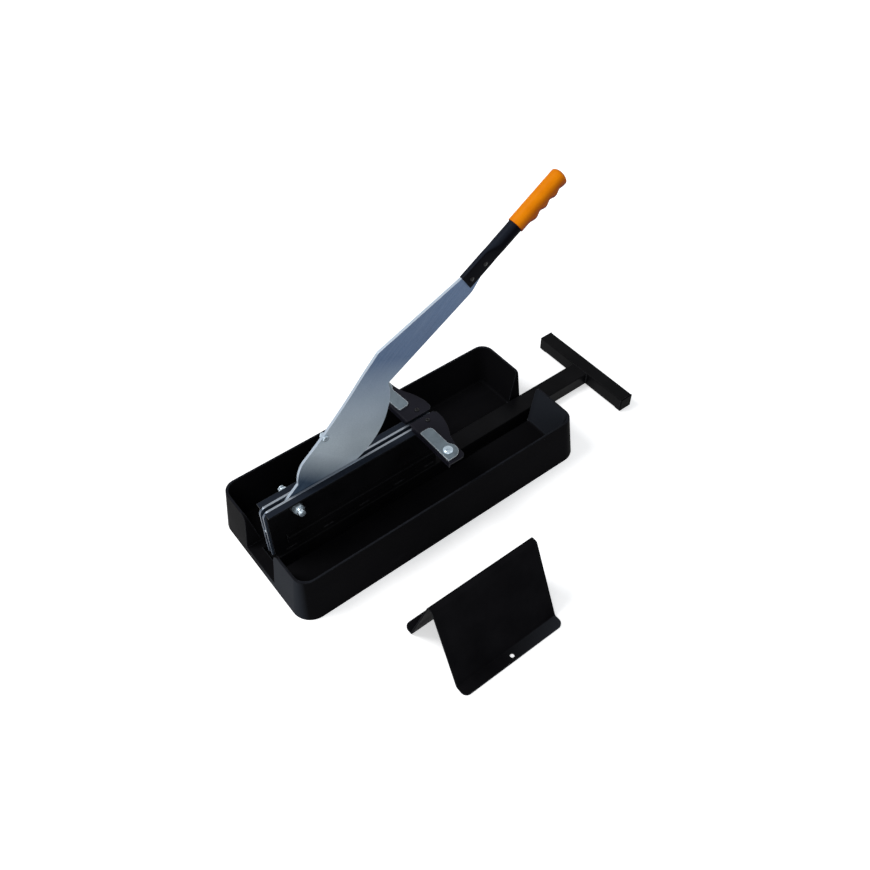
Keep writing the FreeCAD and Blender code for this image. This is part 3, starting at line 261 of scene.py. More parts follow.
def blade_steel():
    """Plated blade: cool satin steel, rolling lines and scratches; a paler belly and bluer arm as painted
    reflection, a darker heel as painted shade, and bright edges that are partly wear and partly painted
    highlight.
    """
    rim_tone, line_tone, scratch_tone = (0.33, 0.39, 0.46), (0.42, 0.5, 0.58), (0.6, 0.66, 0.72)
    worn_and_highlit_edge_colour = (0.75, 0.8, 0.85)
    skin = Finish("blade_steel", (0.2, 0.26, 0.36), 0.42, 0.3, 0.4)
    cloud = skin.noise(13.0, 5.0, 0.6)
    speckle = skin.noise(520.0, 2.0, 0.7)
    mottled = skin.plus(skin.band(cloud, 0.3, 0.7, 0.0, 0.45), skin.band(speckle, 0.3, 0.7, 0.0, 0.55))
    belly = skin.blend(mottled, (0.45, 0.54, 0.61), (0.62, 0.705, 0.77))
    arm = skin.blend(mottled, (0.048, 0.088, 0.172), (0.08, 0.138, 0.248))
    heel = skin.blend(mottled, (0.02, 0.045, 0.085), (0.05, 0.085, 0.14))
    # Painted reflection: paler on the belly, bluer and darker up the arm.
    tone = skin.blend(skin.along((0.4, 0, 1), 0.16, 0.33), belly, arm)
    # Painted shade: darker towards the heel.
    tone = skin.blend(skin.along((1, 0, 1), -0.04, 0.045), heel, tone)
    rolled = (0, math.radians(40), 0)
    lines = skin.noise(420.0, 4.0, 0.65, stretch=(0.02, 1, 1), turn=rolled)
    tone = skin.blend(skin.band(lines, 0.4, 0.75, 0.0, 0.12), tone, line_tone)
    scratch = skin.band(skin.noise(230.0, 5.0, 0.75, stretch=(1, 1, 0.03), turn=(0, 0.2, 0)), 0.68, 0.74)
    tone = skin.blend(skin.times(scratch, 0.25), tone, scratch_tone)
    side = skin.maths("ABSOLUTE", skin.facing("Y"), 0.0)
    tone = skin.blend(skin.band(side, 0.4, 0.85), rim_tone, tone)
    # Bright edges: partly wear, partly painted highlight.
    skin.colour(skin.blend(skin.times(skin.edges(0.001), 0.5), tone, worn_and_highlit_edge_colour))
    clouded = skin.band(cloud, 0.3, 0.7, 0.36, 0.48)
    skin.roughness(skin.plus(clouded, skin.band(lines, 0.3, 0.7, -0.06, 0.06)))
    skin.bump(lines, 0.00003, 0.5)
    return skin.material


def grip_plastic():
    """Soft orange plastic with a fine matt grain and grime; redder at its end and deeper underneath as
    painted shade.
    """
    orange, paler = (0.65, 0.172, 0.0004), (0.74, 0.22, 0.001)
    dirty, end_shade, under_shade = (0.5, 0.1, 0.002), (0.42, 0.07, 0.001), (0.15, 0.012, 0.0005)
    skin = Finish("grip_plastic", (0.7, 0.2, 0.001), 0.4, specular=0.05)
    cloud = skin.noise(30.0, 4.0)
    tone = skin.blend(skin.band(cloud, 0.3, 0.7), orange, paler)
    grime = skin.band(skin.noise(75.0, 6.0, 0.7), 0.58, 0.78)
    tone = skin.blend(skin.times(grime, 0.25), tone, dirty)
    # Painted shade: redder and darker on faces towards the end.
    tone = skin.blend(skin.band(skin.facing("X"), 0.1, 0.85, 0.0, 0.6), tone, end_shade)
    # Painted shade: deeper on the faces that look down.
    skin.colour(skin.blend(skin.band(skin.facing("Z"), -0.28, 0.62), under_shade, tone))
    skin.roughness(skin.band(cloud, 0.3, 0.7, 0.34, 0.46))
    skin.bump(skin.noise(1500.0, 2.0), 0.00003, 0.6)
    return skin.material


def plain(name, colour, roughness, metallic=0.0, specular=0.5):
    """Small parts: a tint that varies a little, worn edges and a faint skin."""
    skin = Finish(name, colour, roughness, metallic, specular)
    cloud = skin.noise(90.0, 4.0)
    darker = tuple(c * 0.8 for c in colour)
    paler = tuple(min(1, c * 1.2) for c in colour)
    rubbed = tuple(min(1, c * 1.8 + 0.02) for c in colour)
    tone = skin.blend(cloud, darker, paler)
    skin.colour(skin.blend(skin.times(skin.edges(0.0005), 0.3), tone, rubbed))
    skin.roughness(skin.band(cloud, 0.3, 0.7, roughness - 0.05, roughness + 0.07))
    skin.bump(skin.noise(700.0, 2.0), 0.00003, 0.5)
    return skin.material


# Painted sheens, painted highlights on the rail tops, up the handle and at the stand foot's end: direction,
# where along it the sheen starts and is full, and its colour
RAIL_TOP_PAINTED_SHEEN = ((0, 0, 1), 0.146, 0.148, (0.012, 0.0155, 0.023))
HANDLE_PAINTED_SHEEN = ((0, 0, 1), 0.3, 0.35, (0.014, 0.0175, 0.026))
STAND_FOOT_PAINTED_SHEEN = ((1, 0, -3), -0.1, 0.03, (0.021, 0.023, 0.027))
SLOTS = {
    "tray_plastic": moulded_plastic(),
    "frame_paint": powder_coat("frame_paint", (0.0028, 0.0028, 0.0032), painted_sheen=RAIL_TOP_PAINTED_SHEEN),
    "cap_plastic": plain("cap_plastic", (0.0022, 0.0022, 0.0026), 0.4, specular=0.01),
    "foot_rubber": plain("foot_rubber", (0.005, 0.005, 0.005), 0.8, specular=0.1),
    "anvil_zinc": zinc("anvil_zinc", (0.055, 0.075, 0.11), 0.34, 0.6, grain=(0.03, 1, 1), wear_and_highlight=0.35,
                       milled=(0.22, 0.25, 0.29)),
    "fence_zinc": zinc("fence_zinc", (0.11, 0.14, 0.162), 0.38, 0.7, grain=(1, 0.04, 1), wear_and_highlight=0.75,
                       mottle=0.35),
    "bolt_zinc": zinc("bolt_zinc", (0.42, 0.51, 0.58), 0.25, 0.7, spangle=0.0, wear_and_highlight=0.3),
    "wing_paint": powder_coat("wing_paint", (0.0055, 0.0055, 0.0085), 0.34, 0.05),
    "screw_black": plain("screw_black", (0.007, 0.007, 0.008), 0.3, 0.4, 0.2),
    "blade_steel": blade_steel(),
    "handle_paint": powder_coat("handle_paint", (0.0019, 0.0021, 0.0034), 0.24, 0.012, HANDLE_PAINTED_SHEEN),
    "rivet_steel": plain("rivet_steel", (0.005, 0.005, 0.0055), 0.2, 0.0, 0.14),
    "grip_plastic": grip_plastic(),
    "stand_paint": powder_coat("stand_paint", (0.0035, 0.0034, 0.004), 0.34, 0.0008, STAND_FOOT_PAINTED_SHEEN),
}


# Meshes
def paint(piece, slot):
    piece.data.materials.clear()
    piece.data.materials.append(SLOTS[slot])


def add_piece(name, mesh, body, slot, replaces=()):
    """A new object that rides on a body."""
    piece = bpy.data.objects.new(name, mesh)
    bpy.context.scene.collection.objects.link(piece)
    paint(piece, slot)
    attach(piece, body)
    if replaces:
        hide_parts(*replaces)
    return piece


def bake(piece):
    """Put the modifiers' result into the mesh."""
    graph = bpy.context.evaluated_depsgraph_get()
    final = bpy.data.meshes.new_from_object(piece.evaluated_get(graph))
    piece.modifiers.clear()
    piece.data = final


def smooth_by_angle(piece, degrees=32):
    piece.data.shade_smooth()
    piece.data.set_sharp_from_angle(angle=math.radians(degrees))


def steady(piece):
    """Wide faces keep their true direction beside rounded edges."""
    weighted = piece.modifiers.new("weighted", "WEIGHTED_NORMAL")
    weighted.keep_sharp = True
    bake(piece)


def dressed(node, radius):
    """A node's solid with its sharp edges really rounded."""
    mesh = NODES[node].data.copy()
    shape = bmesh.new()
    shape.from_mesh(mesh)
    bmesh.ops.remove_doubles(shape, verts=shape.verts, dist=1e-6)
    bmesh.ops.dissolve_limit(shape, angle_limit=math.radians(0.6), verts=shape.verts, edges=shape.edges)
    shape.to_mesh(mesh)
    shape.free()
    piece = add_piece(node + "_dressed", mesh, BODY_OF[node], SLOT_OF[node], (node,))
    bevel = piece.modifiers.new("bevel", "BEVEL")
    bevel.width = radius
    bevel.segments = 2
    bevel.limit_method = "ANGLE"
    bevel.angle_limit = math.radians(28)
    bake(piece)
    smooth_by_angle(piece)
    steady(piece)
    return piece


# Edge rounding in millimetres
ROUNDED = {
    "stem_tube": 0.4, "cross_tube": 0.4, "cross_tube_caps": 0.6, "cross_tube_feet": 0.5,
    "anvil_plate_near": 0.6, "anvil_plate_far": 0.6, "rail_angle_near": 0.5, "rail_angle_far": 0.5,
    "side_angle_near": 0.5, "side_angle_far": 0.5, "rail_spacers": 0.5, "wing_near": 0.6, "wing_far": 0.6,
    "fence_plate_near": 0.6, "fence_plate_far": 0.6, "blade_plate": 0.5, "stand_sheet": 0.6,
}
for node, radius in ROUNDED.items():
    dressed(node, radius * MM)


def stand_at(x, y, z, axis):
    """Frame whose Z points along an axis, at a place in millimetres."""
    turned = Vector(axis).to_track_quat("Z", "Y").to_matrix().to_4x4()
    return Matrix.Translation(Vector((x, y, z)) * MM) @ turned


def skin_over(rings, place, ring_shut=False):
    """Mesh over rings of points in millimetres; the ends are closed, or joined into a ring."""
    shape = bmesh.new()
    rows = [[shape.verts.new(place @ (Vector(point) * MM)) for point in ring] for ring in rings]
    pairs = list(zip(rows, rows[1:]))
    if ring_shut:
        pairs.append((rows[-1], rows[0]))
    else:
        shape.faces.new(rows[0])
        shape.faces.new(rows[-1])
    for low, high in pairs:
        for here in range(len(low)):
            after = (here + 1) % len(low)
            shape.faces.new((low[here], low[after], high[after], high[here]))
    bmesh.ops.remove_doubles(shape, verts=shape.verts, dist=1e-7)
    bmesh.ops.recalc_face_normals(shape, faces=shape.faces)
    mesh = bpy.data.meshes.new("skin")
    shape.to_mesh(mesh)
    shape.free()
    return mesh


def carve(piece, meshes):
    """Take closed shapes out of a piece."""
    tools = []
    for mesh in meshes:
        tool = bpy.data.objects.new("tool", mesh)
        bpy.context.scene.collection.objects.link(tool)
        cut = piece.modifiers.new("cut", "BOOLEAN")
        cut.operation = "DIFFERENCE"
        cut.solver = "EXACT"
        cut.object = tool
        tools.append(tool)
    bpy.context.view_layer.update()
    bake(piece)
    for tool in tools:
        bpy.data.objects.remove(tool)


def gather(meshes):
    """One mesh out of several."""
    shape = bmesh.new()
    for mesh in meshes:
        shape.from_mesh(mesh)
    together = bpy.data.meshes.new("group")
    shape.to_mesh(together)
    shape.free()
    return together


TURN = 72


def circle_of(reach, height):
    """Ring about Z; reach and height may depend on the angle."""
    ring = []
    for step in range(TURN):
        angle = math.tau * step / TURN
        away = reach(angle) if callable(reach) else reach
        up = height(angle) if callable(height) else height
        ring.append((away * math.cos(angle), away * math.sin(angle), up))
    return ring


def hexagon(flats):
    """Distance from the axis to the sides of a hexagon."""
    def reach(angle):
        return flats / 2 / math.cos(angle % (math.pi / 3) - math.pi / 6)
    return reach


def thread(radius, pitch, low, high):
    """Rings of a screw thread from one height to another."""
    rings = []
    steps = max(2, round((high - low) / pitch * 8))
    for step in range(steps + 1):
        up = low + (high - low) * step / steps
        fade = min(1.0, (high - up) / pitch, (up - low) / pitch)

        def reach(angle, up=up, fade=fade):
            turn = (up / pitch - angle / math.tau) % 1.0
            return radius - 0.55 * pitch * (1 - abs(2 * turn - 1)) * max(fade, 0.0)
        rings.append(circle_of(reach, up))
    return rings


def dome(radius, low, high, steps=8):
    """Rings of a low dome that starts a little above its foot."""
    foot = 0.12 * (high - low)
    rings = [circle_of(radius, low)]
    for step in range(steps + 1):
        angle = math.pi / 2 * step / steps
        up = low + foot + (high - low - foot) * math.sin(angle)
        rings.append(circle_of(max(radius * math.cos(angle), 0.0005), up))
    return rings


CORNER_SLOPE = math.tan(math.radians(30))


def nut(flats, bore, height, place, collar=0.0):
    """Hexagon nut with turned corners, and for a lock nut a round collar on top."""
    side = hexagon(flats)
    face = 0.95 * flats / 2
    body = height - collar
    inner = bore / 2

    def lower(angle):
        return (side(angle) - face) * CORNER_SLOPE

    def upper(angle):
        return body - lower(angle)

    rings = [circle_of(inner, 0.3), circle_of(inner + 0.3, 0), circle_of(face, 0), circle_of(side, lower),
             circle_of(side, upper), circle_of(face, body)]
    if collar:
        edge = 0.88 * flats / 2
        groove = inner + 0.13 * bore
        rings += [circle_of(edge, body), circle_of(edge - 0.2, height - 0.7),
                  circle_of(edge - 0.9, height - 0.05), circle_of(groove, height - 0.1),
                  circle_of(groove - 0.2, height - 0.6 * collar)]
    end = rings[-1][0][2]
    rings += [circle_of(inner + 0.2, end), circle_of(inner, end - 0.3)]
    return skin_over(rings, place, ring_shut=True)


def washer(outer, inner, thick, place):
    rim, hole = outer / 2, inner / 2
    rings = [circle_of(hole, 0), circle_of(rim - 0.2, 0), circle_of(rim, 0.3), circle_of(rim, thick - 0.4),
             circle_of(rim - 0.4, thick), circle_of(hole, thick)]
    return skin_over(rings, place, ring_shut=True)


def fastener(name, node, meshes):
    """Detailed piece in the place of a node."""
    piece = add_piece(name, gather(meshes), BODY_OF[node], SLOT_OF[node], (node,))
    smooth_by_angle(piece, 40)
    return piece


def trim(name, like, meshes, slot=None):
    """Small piece that rides with a node and shares its finish."""
    piece = add_piece(name, gather(meshes), BODY_OF[like], slot or SLOT_OF[like])
    smooth_by_angle(piece, 40)
    return piece


# Tray: drafted double wall with a raised floor, a channel for the stem and two notches
TRAY_HALF_LENGTH, TRAY_HALF_WIDTH, TRAY_HEIGHT, FLOOR_TOP = 304.0, 133.7, 94.5, 14.0
TRAY_FLARE, TRAY_WALL, RIM_WIDTH = 12.0, 3.0, 4.0
FLOOR_CORNER, CAVITY_DRAFT, RIM_CORNER = 9.0, 15.6, 25.0
CHANNEL_WIDTH, CHANNEL_START, REAR_NOTCH_WIDTH = 58.0, -292.0, 94.0
CHANNEL_CORNER, FRONT_NOTCH_CORNER, REAR_NOTCH_CORNER = 4.0, 9.0, 16.0
CORNERS = ((1, 1), (-1, 1), (-1, -1), (1, -1))
WALL_START = TRAY_HALF_LENGTH - RIM_WIDTH - CAVITY_DRAFT
OUTER_END = TRAY_HALF_LENGTH + TRAY_FLARE + 5
INNER_INSET = RIM_WIDTH + FLOOR_CORNER + CAVITY_DRAFT
HERE = Matrix.Identity(4)


def plan(inset, margin, height, steps=12):
    """Rectangle with round corners at a height."""
    half_x, half_y = TRAY_HALF_LENGTH - inset, TRAY_HALF_WIDTH - inset
    ring = []
    for quarter, (side_x, side_y) in enumerate(CORNERS):
        for step in range(steps + 1):
            angle = math.radians(90 * (quarter + step / steps))
            x = side_x * half_x + margin * math.cos(angle)
            y = side_y * half_y + margin * math.sin(angle)
            ring.append((x, y, height))
    return ring


def trough(width, corner, bottom, top, grow, start, end, steps=10):
    """Straight trough along X whose upper edges are rounded outwards."""
    side, shoulder, swing = width / 2, top - corner, corner - grow
    half = [(side + grow, bottom)]
    for step in range(steps + 1):
        angle = math.pi / 2 * step / steps
        half.append((side + corner - swing * math.cos(angle), shoulder + swing * math.sin(angle)))
    half.append((side + corner, top + 1))
    profile = half + [(-y, z) for y, z in reversed(half)]
    return skin_over([[(x, y, z) for y, z in profile] for x in (start, end)], HERE)


def troughs(grow):
    """Channel in the floor and the notches in the end walls."""
    depth = -1.0 if grow else 2.5
    notch = WALL_START - 10
    sill = FLOOR_TOP - grow
    return [trough(CHANNEL_WIDTH, CHANNEL_CORNER, depth, FLOOR_TOP, grow, CHANNEL_START - grow, WALL_START),
            trough(CHANNEL_WIDTH, FRONT_NOTCH_CORNER, depth, TRAY_HEIGHT, grow, notch, OUTER_END),
            trough(REAR_NOTCH_WIDTH, REAR_NOTCH_CORNER, sill, TRAY_HEIGHT, grow, -OUTER_END, -notch)]


def wall_rings(inset, foot, top, low, pulls):
    """Rings of a drafted wall: margins from foot to top, and how far each ring is pulled in."""
    rings = []
    for height, pull in pulls:
        margin = foot + (top - foot) * (height - low) / (TRAY_HEIGHT - low)
        rings.append(plan(inset, margin - pull, height))
    return rings


def tray():
    outer_pulls = ((0.0, 0.6), (0.3, 0.15), (1.0, 0.0), (TRAY_HEIGHT - 1.4, 0.0), (TRAY_HEIGHT - 0.7, 0.12),
                   (TRAY_HEIGHT - 0.2, 0.55), (TRAY_HEIGHT, 1.3))
    rings = wall_rings(RIM_CORNER, RIM_CORNER + TRAY_FLARE, RIM_CORNER, 0, outer_pulls)
    shell = add_piece("tray_dressed", skin_over(rings, HERE), "base", "tray_plastic", ("tray",))
    inner_pulls = ((FLOOR_TOP, 5.0), (FLOOR_TOP + 0.35, 3.0), (FLOOR_TOP + 1.3, 1.3),
                   (FLOOR_TOP + 3.0, 0.35), (FLOOR_TOP + 5.0, 0.0), (TRAY_HEIGHT - 1.3, 0.0),
                   (TRAY_HEIGHT - 0.6, -0.15), (TRAY_HEIGHT - 0.1, -0.7), (TRAY_HEIGHT + 0.5, -1.2))
    rings = wall_rings(INNER_INSET, FLOOR_CORNER, FLOOR_CORNER + CAVITY_DRAFT, FLOOR_TOP, inner_pulls)
    cavity = skin_over(rings, HERE)
    room_top = TRAY_HEIGHT - TRAY_WALL
    room = [plan(INNER_INSET, INNER_INSET + TRAY_FLARE - TRAY_WALL, -0.001),
            plan(INNER_INSET, INNER_INSET - TRAY_WALL * (1 - TRAY_FLARE / TRAY_HEIGHT), room_top)]
    inner = [plan(INNER_INSET, FLOOR_CORNER + TRAY_WALL, FLOOR_TOP - TRAY_WALL),
             plan(INNER_INSET, FLOOR_CORNER + CAVITY_DRAFT + TRAY_WALL, TRAY_HEIGHT)]
    hollow = bpy.data.objects.new("hollow", skin_over(room, HERE))
    bpy.context.scene.collection.objects.link(hollow)
    carve(hollow, [skin_over(inner, HERE)] + troughs(TRAY_WALL))
    under = hollow.data
    bpy.data.objects.remove(hollow)
    carve(shell, [cavity] + troughs(0.0) + [under])
    smooth_by_angle(shell, 30)
    steady(shell)


tray()

# Pivot: threaded stud, washers and lock nuts with nylon inserts
PIVOT = (-232.5, 0, 133.0)
CHEEK, WASHER, NUT_LENGTH, STUD_END = 11.6, 4.0, 14.0, 36.0
STUD_RADIUS, STUD_TIP, STUD_CHAMFER = 6.0, 4.3, 0.8
STUD_PITCH, INSERT_THICK = 1.75, 1.7


def pivot():
    seat = CHEEK + WASHER
    thread_end = STUD_END - STUD_CHAMFER
    rings = [circle_of(STUD_TIP, -STUD_END)]
    rings += thread(STUD_RADIUS, STUD_PITCH, -thread_end, -seat)
    rings += thread(STUD_RADIUS, STUD_PITCH, seat, thread_end)
    rings.append(circle_of(STUD_TIP, STUD_END))
    fastener("pivot_stud_dressed", "pivot_stud", [skin_over(rings, stand_at(*PIVOT, (0, 1, 0)))])
    washers, nuts, inserts = [], [], []
    for side in SIDES:
        def at(distance, side=side):
            return stand_at(PIVOT[0], side * distance, PIVOT[2], (0, side, 0))
        washers.append(washer(24, 12.4, WASHER, at(CHEEK)))
        nuts.append(nut(18, 12.1, NUT_LENGTH, at(seat), 3.5))
        inserts.append(washer(14.7, 12.3, INSERT_THICK, at(seat + NUT_LENGTH - 2.0)))
    fastener("pivot_nuts_dressed", "pivot_nuts", nuts)
    trim("pivot_washers", "pivot_nuts", washers, "screw_black")
    trim("pivot_nut_inserts", "pivot_nuts", inserts, "cap_plastic")


pivot()

# Wing and fence fixings
RAIL_TOP, WING_TOP, FENCE_TOP = 148.4, 161.4, 164.4
WING_UNDERSIDE = WING_TOP - 3
UP, DOWN = (0, 0, 1), (0, 0, -1)
WING_HOLE, FENCE_HOLE = (45.0, 15.8), (28.3, 95.5)


def button_screw(place):
    """Button-head socket screw, head up."""
    socket = hexagon(3.0)
    shank = [circle_of(2.0, -17.5)] + thread(2.5, 0.8, -17.0, -10.0)
    head = [circle_of(2.5, 0.0), circle_of(4.35, 0.0), circle_of(4.5, 0.25), circle_of(4.35, 1.0),
            circle_of(3.9, 1.75), circle_of(3.1, 2.35), circle_of(2.4, 2.6), circle_of(1.95, 2.55),
            circle_of(socket, 2.3), circle_of(socket, 0.9), circle_of(0.001, 0.7)]
    return skin_over(shank + head, place)


def carriage_bolt(place):
    """Bolt with a low round head."""
    shank = [circle_of(3.2, -16.5)] + thread(4.0, 1.25, -16.0, -6.5) + [circle_of(4.0, 0.0)]
    return skin_over(shank + dome(9.5, 0.0, 4.8, 10), place)


def wing_spacer(place):
    return nut(8, 5.1, 10.0, place)


def fence_nut(place):
    return nut(13, 8.1, 8.0, place, 2.0)


FIXINGS = (
    ("wing_screws", button_screw, WING_HOLE, WING_TOP, UP),
    ("wing_spacers", wing_spacer, WING_HOLE, RAIL_TOP, UP),
    ("fence_bolts", carriage_bolt, FENCE_HOLE, FENCE_TOP, UP),
    ("fence_nuts", fence_nut, FENCE_HOLE, WING_UNDERSIDE, DOWN),
)
for node, shape_of, (hole_x, hole_y), level, way in FIXINGS:
    both = [shape_of(stand_at(hole_x, side * hole_y, level, way)) for side in SIDES]
    fastener(node + "_dressed", node, both)


# Small bolt through the blade
def blade_bolt():
    x, z, half_blade = PIVOT[0] + 78.5, PIVOT[2] + 108.0, 2.5
    side = hexagon(10)

    def under_head(angle):
        return -4.0 + (side(angle) - 4.75) * CORNER_SLOPE

    head = [circle_of(0.001, -3.9), circle_of(4.3, -3.95), circle_of(4.75, -4.0), circle_of(side, under_head),
            circle_of(side, -0.25), circle_of(4.9, 0.0), circle_of(3.0, 0.0)]
    rings = head + [circle_of(3.0, 8.0)] + thread(3.0, 1.0, 8.2, 11.5) + [circle_of(2.4, 12.0)]
    head_place = stand_at(x, -half_blade, z, (0, 1, 0))
    nut_place = stand_at(x, half_blade, z, (0, 1, 0))
    fastener("blade_bolt_dressed", "blade_bolt", [skin_over(rings, head_place)])
    fastener("blade_bolt_nut_dressed", "blade_bolt_nut", [nut(10, 6.1, 4.0, nut_place)])


blade_bolt()


# Handle: a tube pressed to a fork, its rivets and the grip, drawn along X on the handle's own axis
TILT = math.radians(32.55)
HANDLE = Matrix.Translation(Vector((138.2, 0, 414.8)) * MM) @ Matrix.Rotation(-TILT, 4, "Y")
FLAT_LENGTH, BLEND, TUBE_END, TUBE_RADIUS = 57.0, 28.0, 226.5, 12.75
FLAT_REACH, FLAT_SIDE, FLAT_CORNER = 16.5, 5.0, 3.0
SLIT_SIDE, SLIT_TOP, SLIT_BOTTOM = 2.6, 8.65, -24.0
RIVETS_ALONG = (11.0, 43.5)
GRIP_START, GRIP_LENGTH, GRIP_RADIUS, GRIP_BORE = 121.3, 111.7, 14.75, 12.85
FINGER_PEAKS, FINGER_HEIGHT, END_HEIGHT = (32.5, 56.0, 79.5), 5.4, 3.2
GRIP_STEPS, DOME_LENGTH = 88, 7.5


def oblong(along, reach, side, radius, steps=8):
    """Ring across the handle: a rectangle with round corners."""
    ring = []
    for quarter, (across, up) in enumerate(CORNERS):
        for step in range(steps + 1):
            angle = math.radians(90 * (quarter + step / steps))
            ring.append((along, across * (side - radius) + radius * math.cos(angle),
                         up * (reach - radius) + radius * math.sin(angle)))
    return ring


def handle_tube():
    rings = [oblong(0.0, 15.9, 4.4, 2.6), oblong(0.25, 16.3, 4.8, 2.9)]
    flat_end = FLAT_LENGTH - 4
    for along in (0.8, FLAT_LENGTH * 0.5, flat_end):
        rings.append(oblong(along, FLAT_REACH, FLAT_SIDE, FLAT_CORNER))
    for step in range(1, 19):
        part = step / 18
        ease = part * part * (3 - 2 * part)
        side = FLAT_SIDE + (TUBE_RADIUS - FLAT_SIDE) * ease
        reach = FLAT_REACH + (TUBE_RADIUS - FLAT_REACH) * ease
        radius = min(side, reach, FLAT_CORNER + (TUBE_RADIUS - FLAT_CORNER) * ease ** 0.8)
        rings.append(oblong(flat_end + (BLEND + 4) * part, reach, side, radius * 0.9999))
    for along in (110.0, 150.0, 190.0, TUBE_END - 0.6):
        rings.append(oblong(along, TUBE_RADIUS, TUBE_RADIUS, TUBE_RADIUS - 0.0001))
    rings.append(oblong(TUBE_END, 12.2, 12.2, 12.1999))
    skin = skin_over(rings, HANDLE)
    tube = add_piece("handle_tube_dressed", skin, "blade", "handle_paint", ("handle_tube",))
    profile = ((SLIT_SIDE, SLIT_TOP), (-SLIT_SIDE, SLIT_TOP),
               (-SLIT_SIDE, SLIT_BOTTOM), (SLIT_SIDE, SLIT_BOTTOM))
    slit = [[(along, y, z) for y, z in profile] for along in (-2.0, FLAT_LENGTH + 1)]
    carve(tube, [skin_over(slit, HANDLE)])
    smooth_by_angle(tube, 35)


def rivet(along):
    """Domed on both sides."""
    place = HANDLE @ stand_at(along, 0, -1.0, (0, 1, 0))
    high = dome(4.5, 4.95, 7.2, 7)
    low = [[(x, y, -z) for x, y, z in ring] for ring in reversed(high)]
    return skin_over(low + high, place)


def finger_wave(along):
    """How far the finger side stands out at a place along the grip."""
    rise = 0.0
    for peak in FINGER_PEAKS:
        reach = 15.0 if along < peak < 40 else 11.75
        away = abs(along - peak) / reach
        if away < 1:
            rise = max(rise, FINGER_HEIGHT * math.cos(math.pi / 2 * away) ** 1.7)
    if along > 90:
        rise = END_HEIGHT * math.sin(math.pi / 2 * min(1.0, (along - 90) / 12)) ** 1.5
    return rise


def grip_ring(along, scale=1.0, radius=GRIP_RADIUS):
    """Ring of the grip: a circle, or further down the circle lowered by the finger wave."""
    drop = finger_wave(along) if radius == GRIP_RADIUS else 0.0
    ring = []
    for step in range(TURN):
        angle = math.tau * step / TURN
        lowered = drop * math.cos(angle) + math.sqrt(radius ** 2 - (drop * math.sin(angle)) ** 2)
        away = max(radius, lowered) * scale
        ring.append((GRIP_START + along, away * math.sin(angle), -away * math.cos(angle)))
    return ring


def handle_grip():
    bore_end = GRIP_LENGTH - 6.5
    body_end = GRIP_LENGTH - DOME_LENGTH
    rings = [grip_ring(bore_end, radius=0.001), grip_ring(bore_end, radius=GRIP_BORE),
             grip_ring(1.5, radius=GRIP_BORE), grip_ring(0.4, radius=GRIP_BORE + 0.15),
             grip_ring(0.0, radius=GRIP_BORE + 0.6), grip_ring(0.0, 0.955), grip_ring(0.35, 0.985),
             grip_ring(1.0, 0.998)]
    rings += [grip_ring(1.8 + (body_end - 1.8) * step / GRIP_STEPS) for step in range(GRIP_STEPS + 1)]
    for step in range(1, 13):
        angle = math.pi / 2 * step / 12
        rings.append(grip_ring(body_end + DOME_LENGTH * math.sin(angle), max(math.cos(angle), 0.0001)))
    skin = skin_over(rings, HANDLE)
    grip = add_piece("handle_grip_dressed", skin, "blade", "grip_plastic", ("handle_grip",))
    smooth_by_angle(grip, 50)


handle_tube()
handle_grip()
fastener("handle_rivets_dressed", "handle_rivets", [rivet(along) for along in RIVETS_ALONG])


# Weld beads: short rippled seams in the corners between the tubes and rails
STEM_TOP, STEM_SIDE, CROSS_FACE = 32.5, 20.0, 454.7
RAIL_WELDS, RAIL_WELD_LENGTH = (-268.0, -190.0, -112.0, -34.0, 36.0), 24


def bead(start, end, radius, pitch=1.7):
    """Rippled seam between two places."""
    start, end = Vector(start), Vector(end)
    along = (end - start).normalized()
    length = (end - start).length
    count = round(length / pitch * 6)
    turned = along.to_track_quat("Z", "Y").to_matrix()
    rings = []
    for step in range(count + 1):
        place = length * step / count
        fade = min(1.0, place / radius + 0.12, (length - place) / radius + 0.12)
        swell = radius * fade * (0.86 + 0.14 * abs(math.sin(math.pi * place / pitch)))
        sway = 0.25 * math.sin(place * 0.9)
        ring = []
        for corner in range(14):
            angle = math.tau * corner / 14
            offset = turned @ Vector(((swell + 0.1 * sway) * math.cos(angle), swell * math.sin(angle), 0))
            ring.append(start + along * place + offset)
        rings.append(ring)
    return skin_over(rings, HERE)


def weld_seams():
    seams = []
    for side in SIDES:
        y = side * STEM_SIDE
        seams.append(bead((CROSS_FACE, y, 5.0), (CROSS_FACE, y, STEM_TOP - 1.5), 2.2))
    for side in SIDES:
        y = side * CHEEK
        for x in RAIL_WELDS:
            seams.append(bead((x, y, STEM_TOP), (x + RAIL_WELD_LENGTH, y, STEM_TOP), 2.0))
    trim("weld_seams", "stem_tube", seams)


weld_seams()


# Floor and backdrop: white to the camera, with the object's soft shadow
def seen_directly(tree):
    """1 for camera, glossy and transmission rays."""
    path = tree.nodes.new("ShaderNodeLightPath")
    total = path.outputs["Is Camera Ray"]
    for name in ("Is Glossy Ray", "Is Transmission Ray"):
        step = tree.nodes.new("ShaderNodeMath")
        step.operation = "MAXIMUM"
        tree.links.new(total, step.inputs[0])
        tree.links.new(path.outputs[name], step.inputs[1])
        total = step.outputs["Value"]
    return total


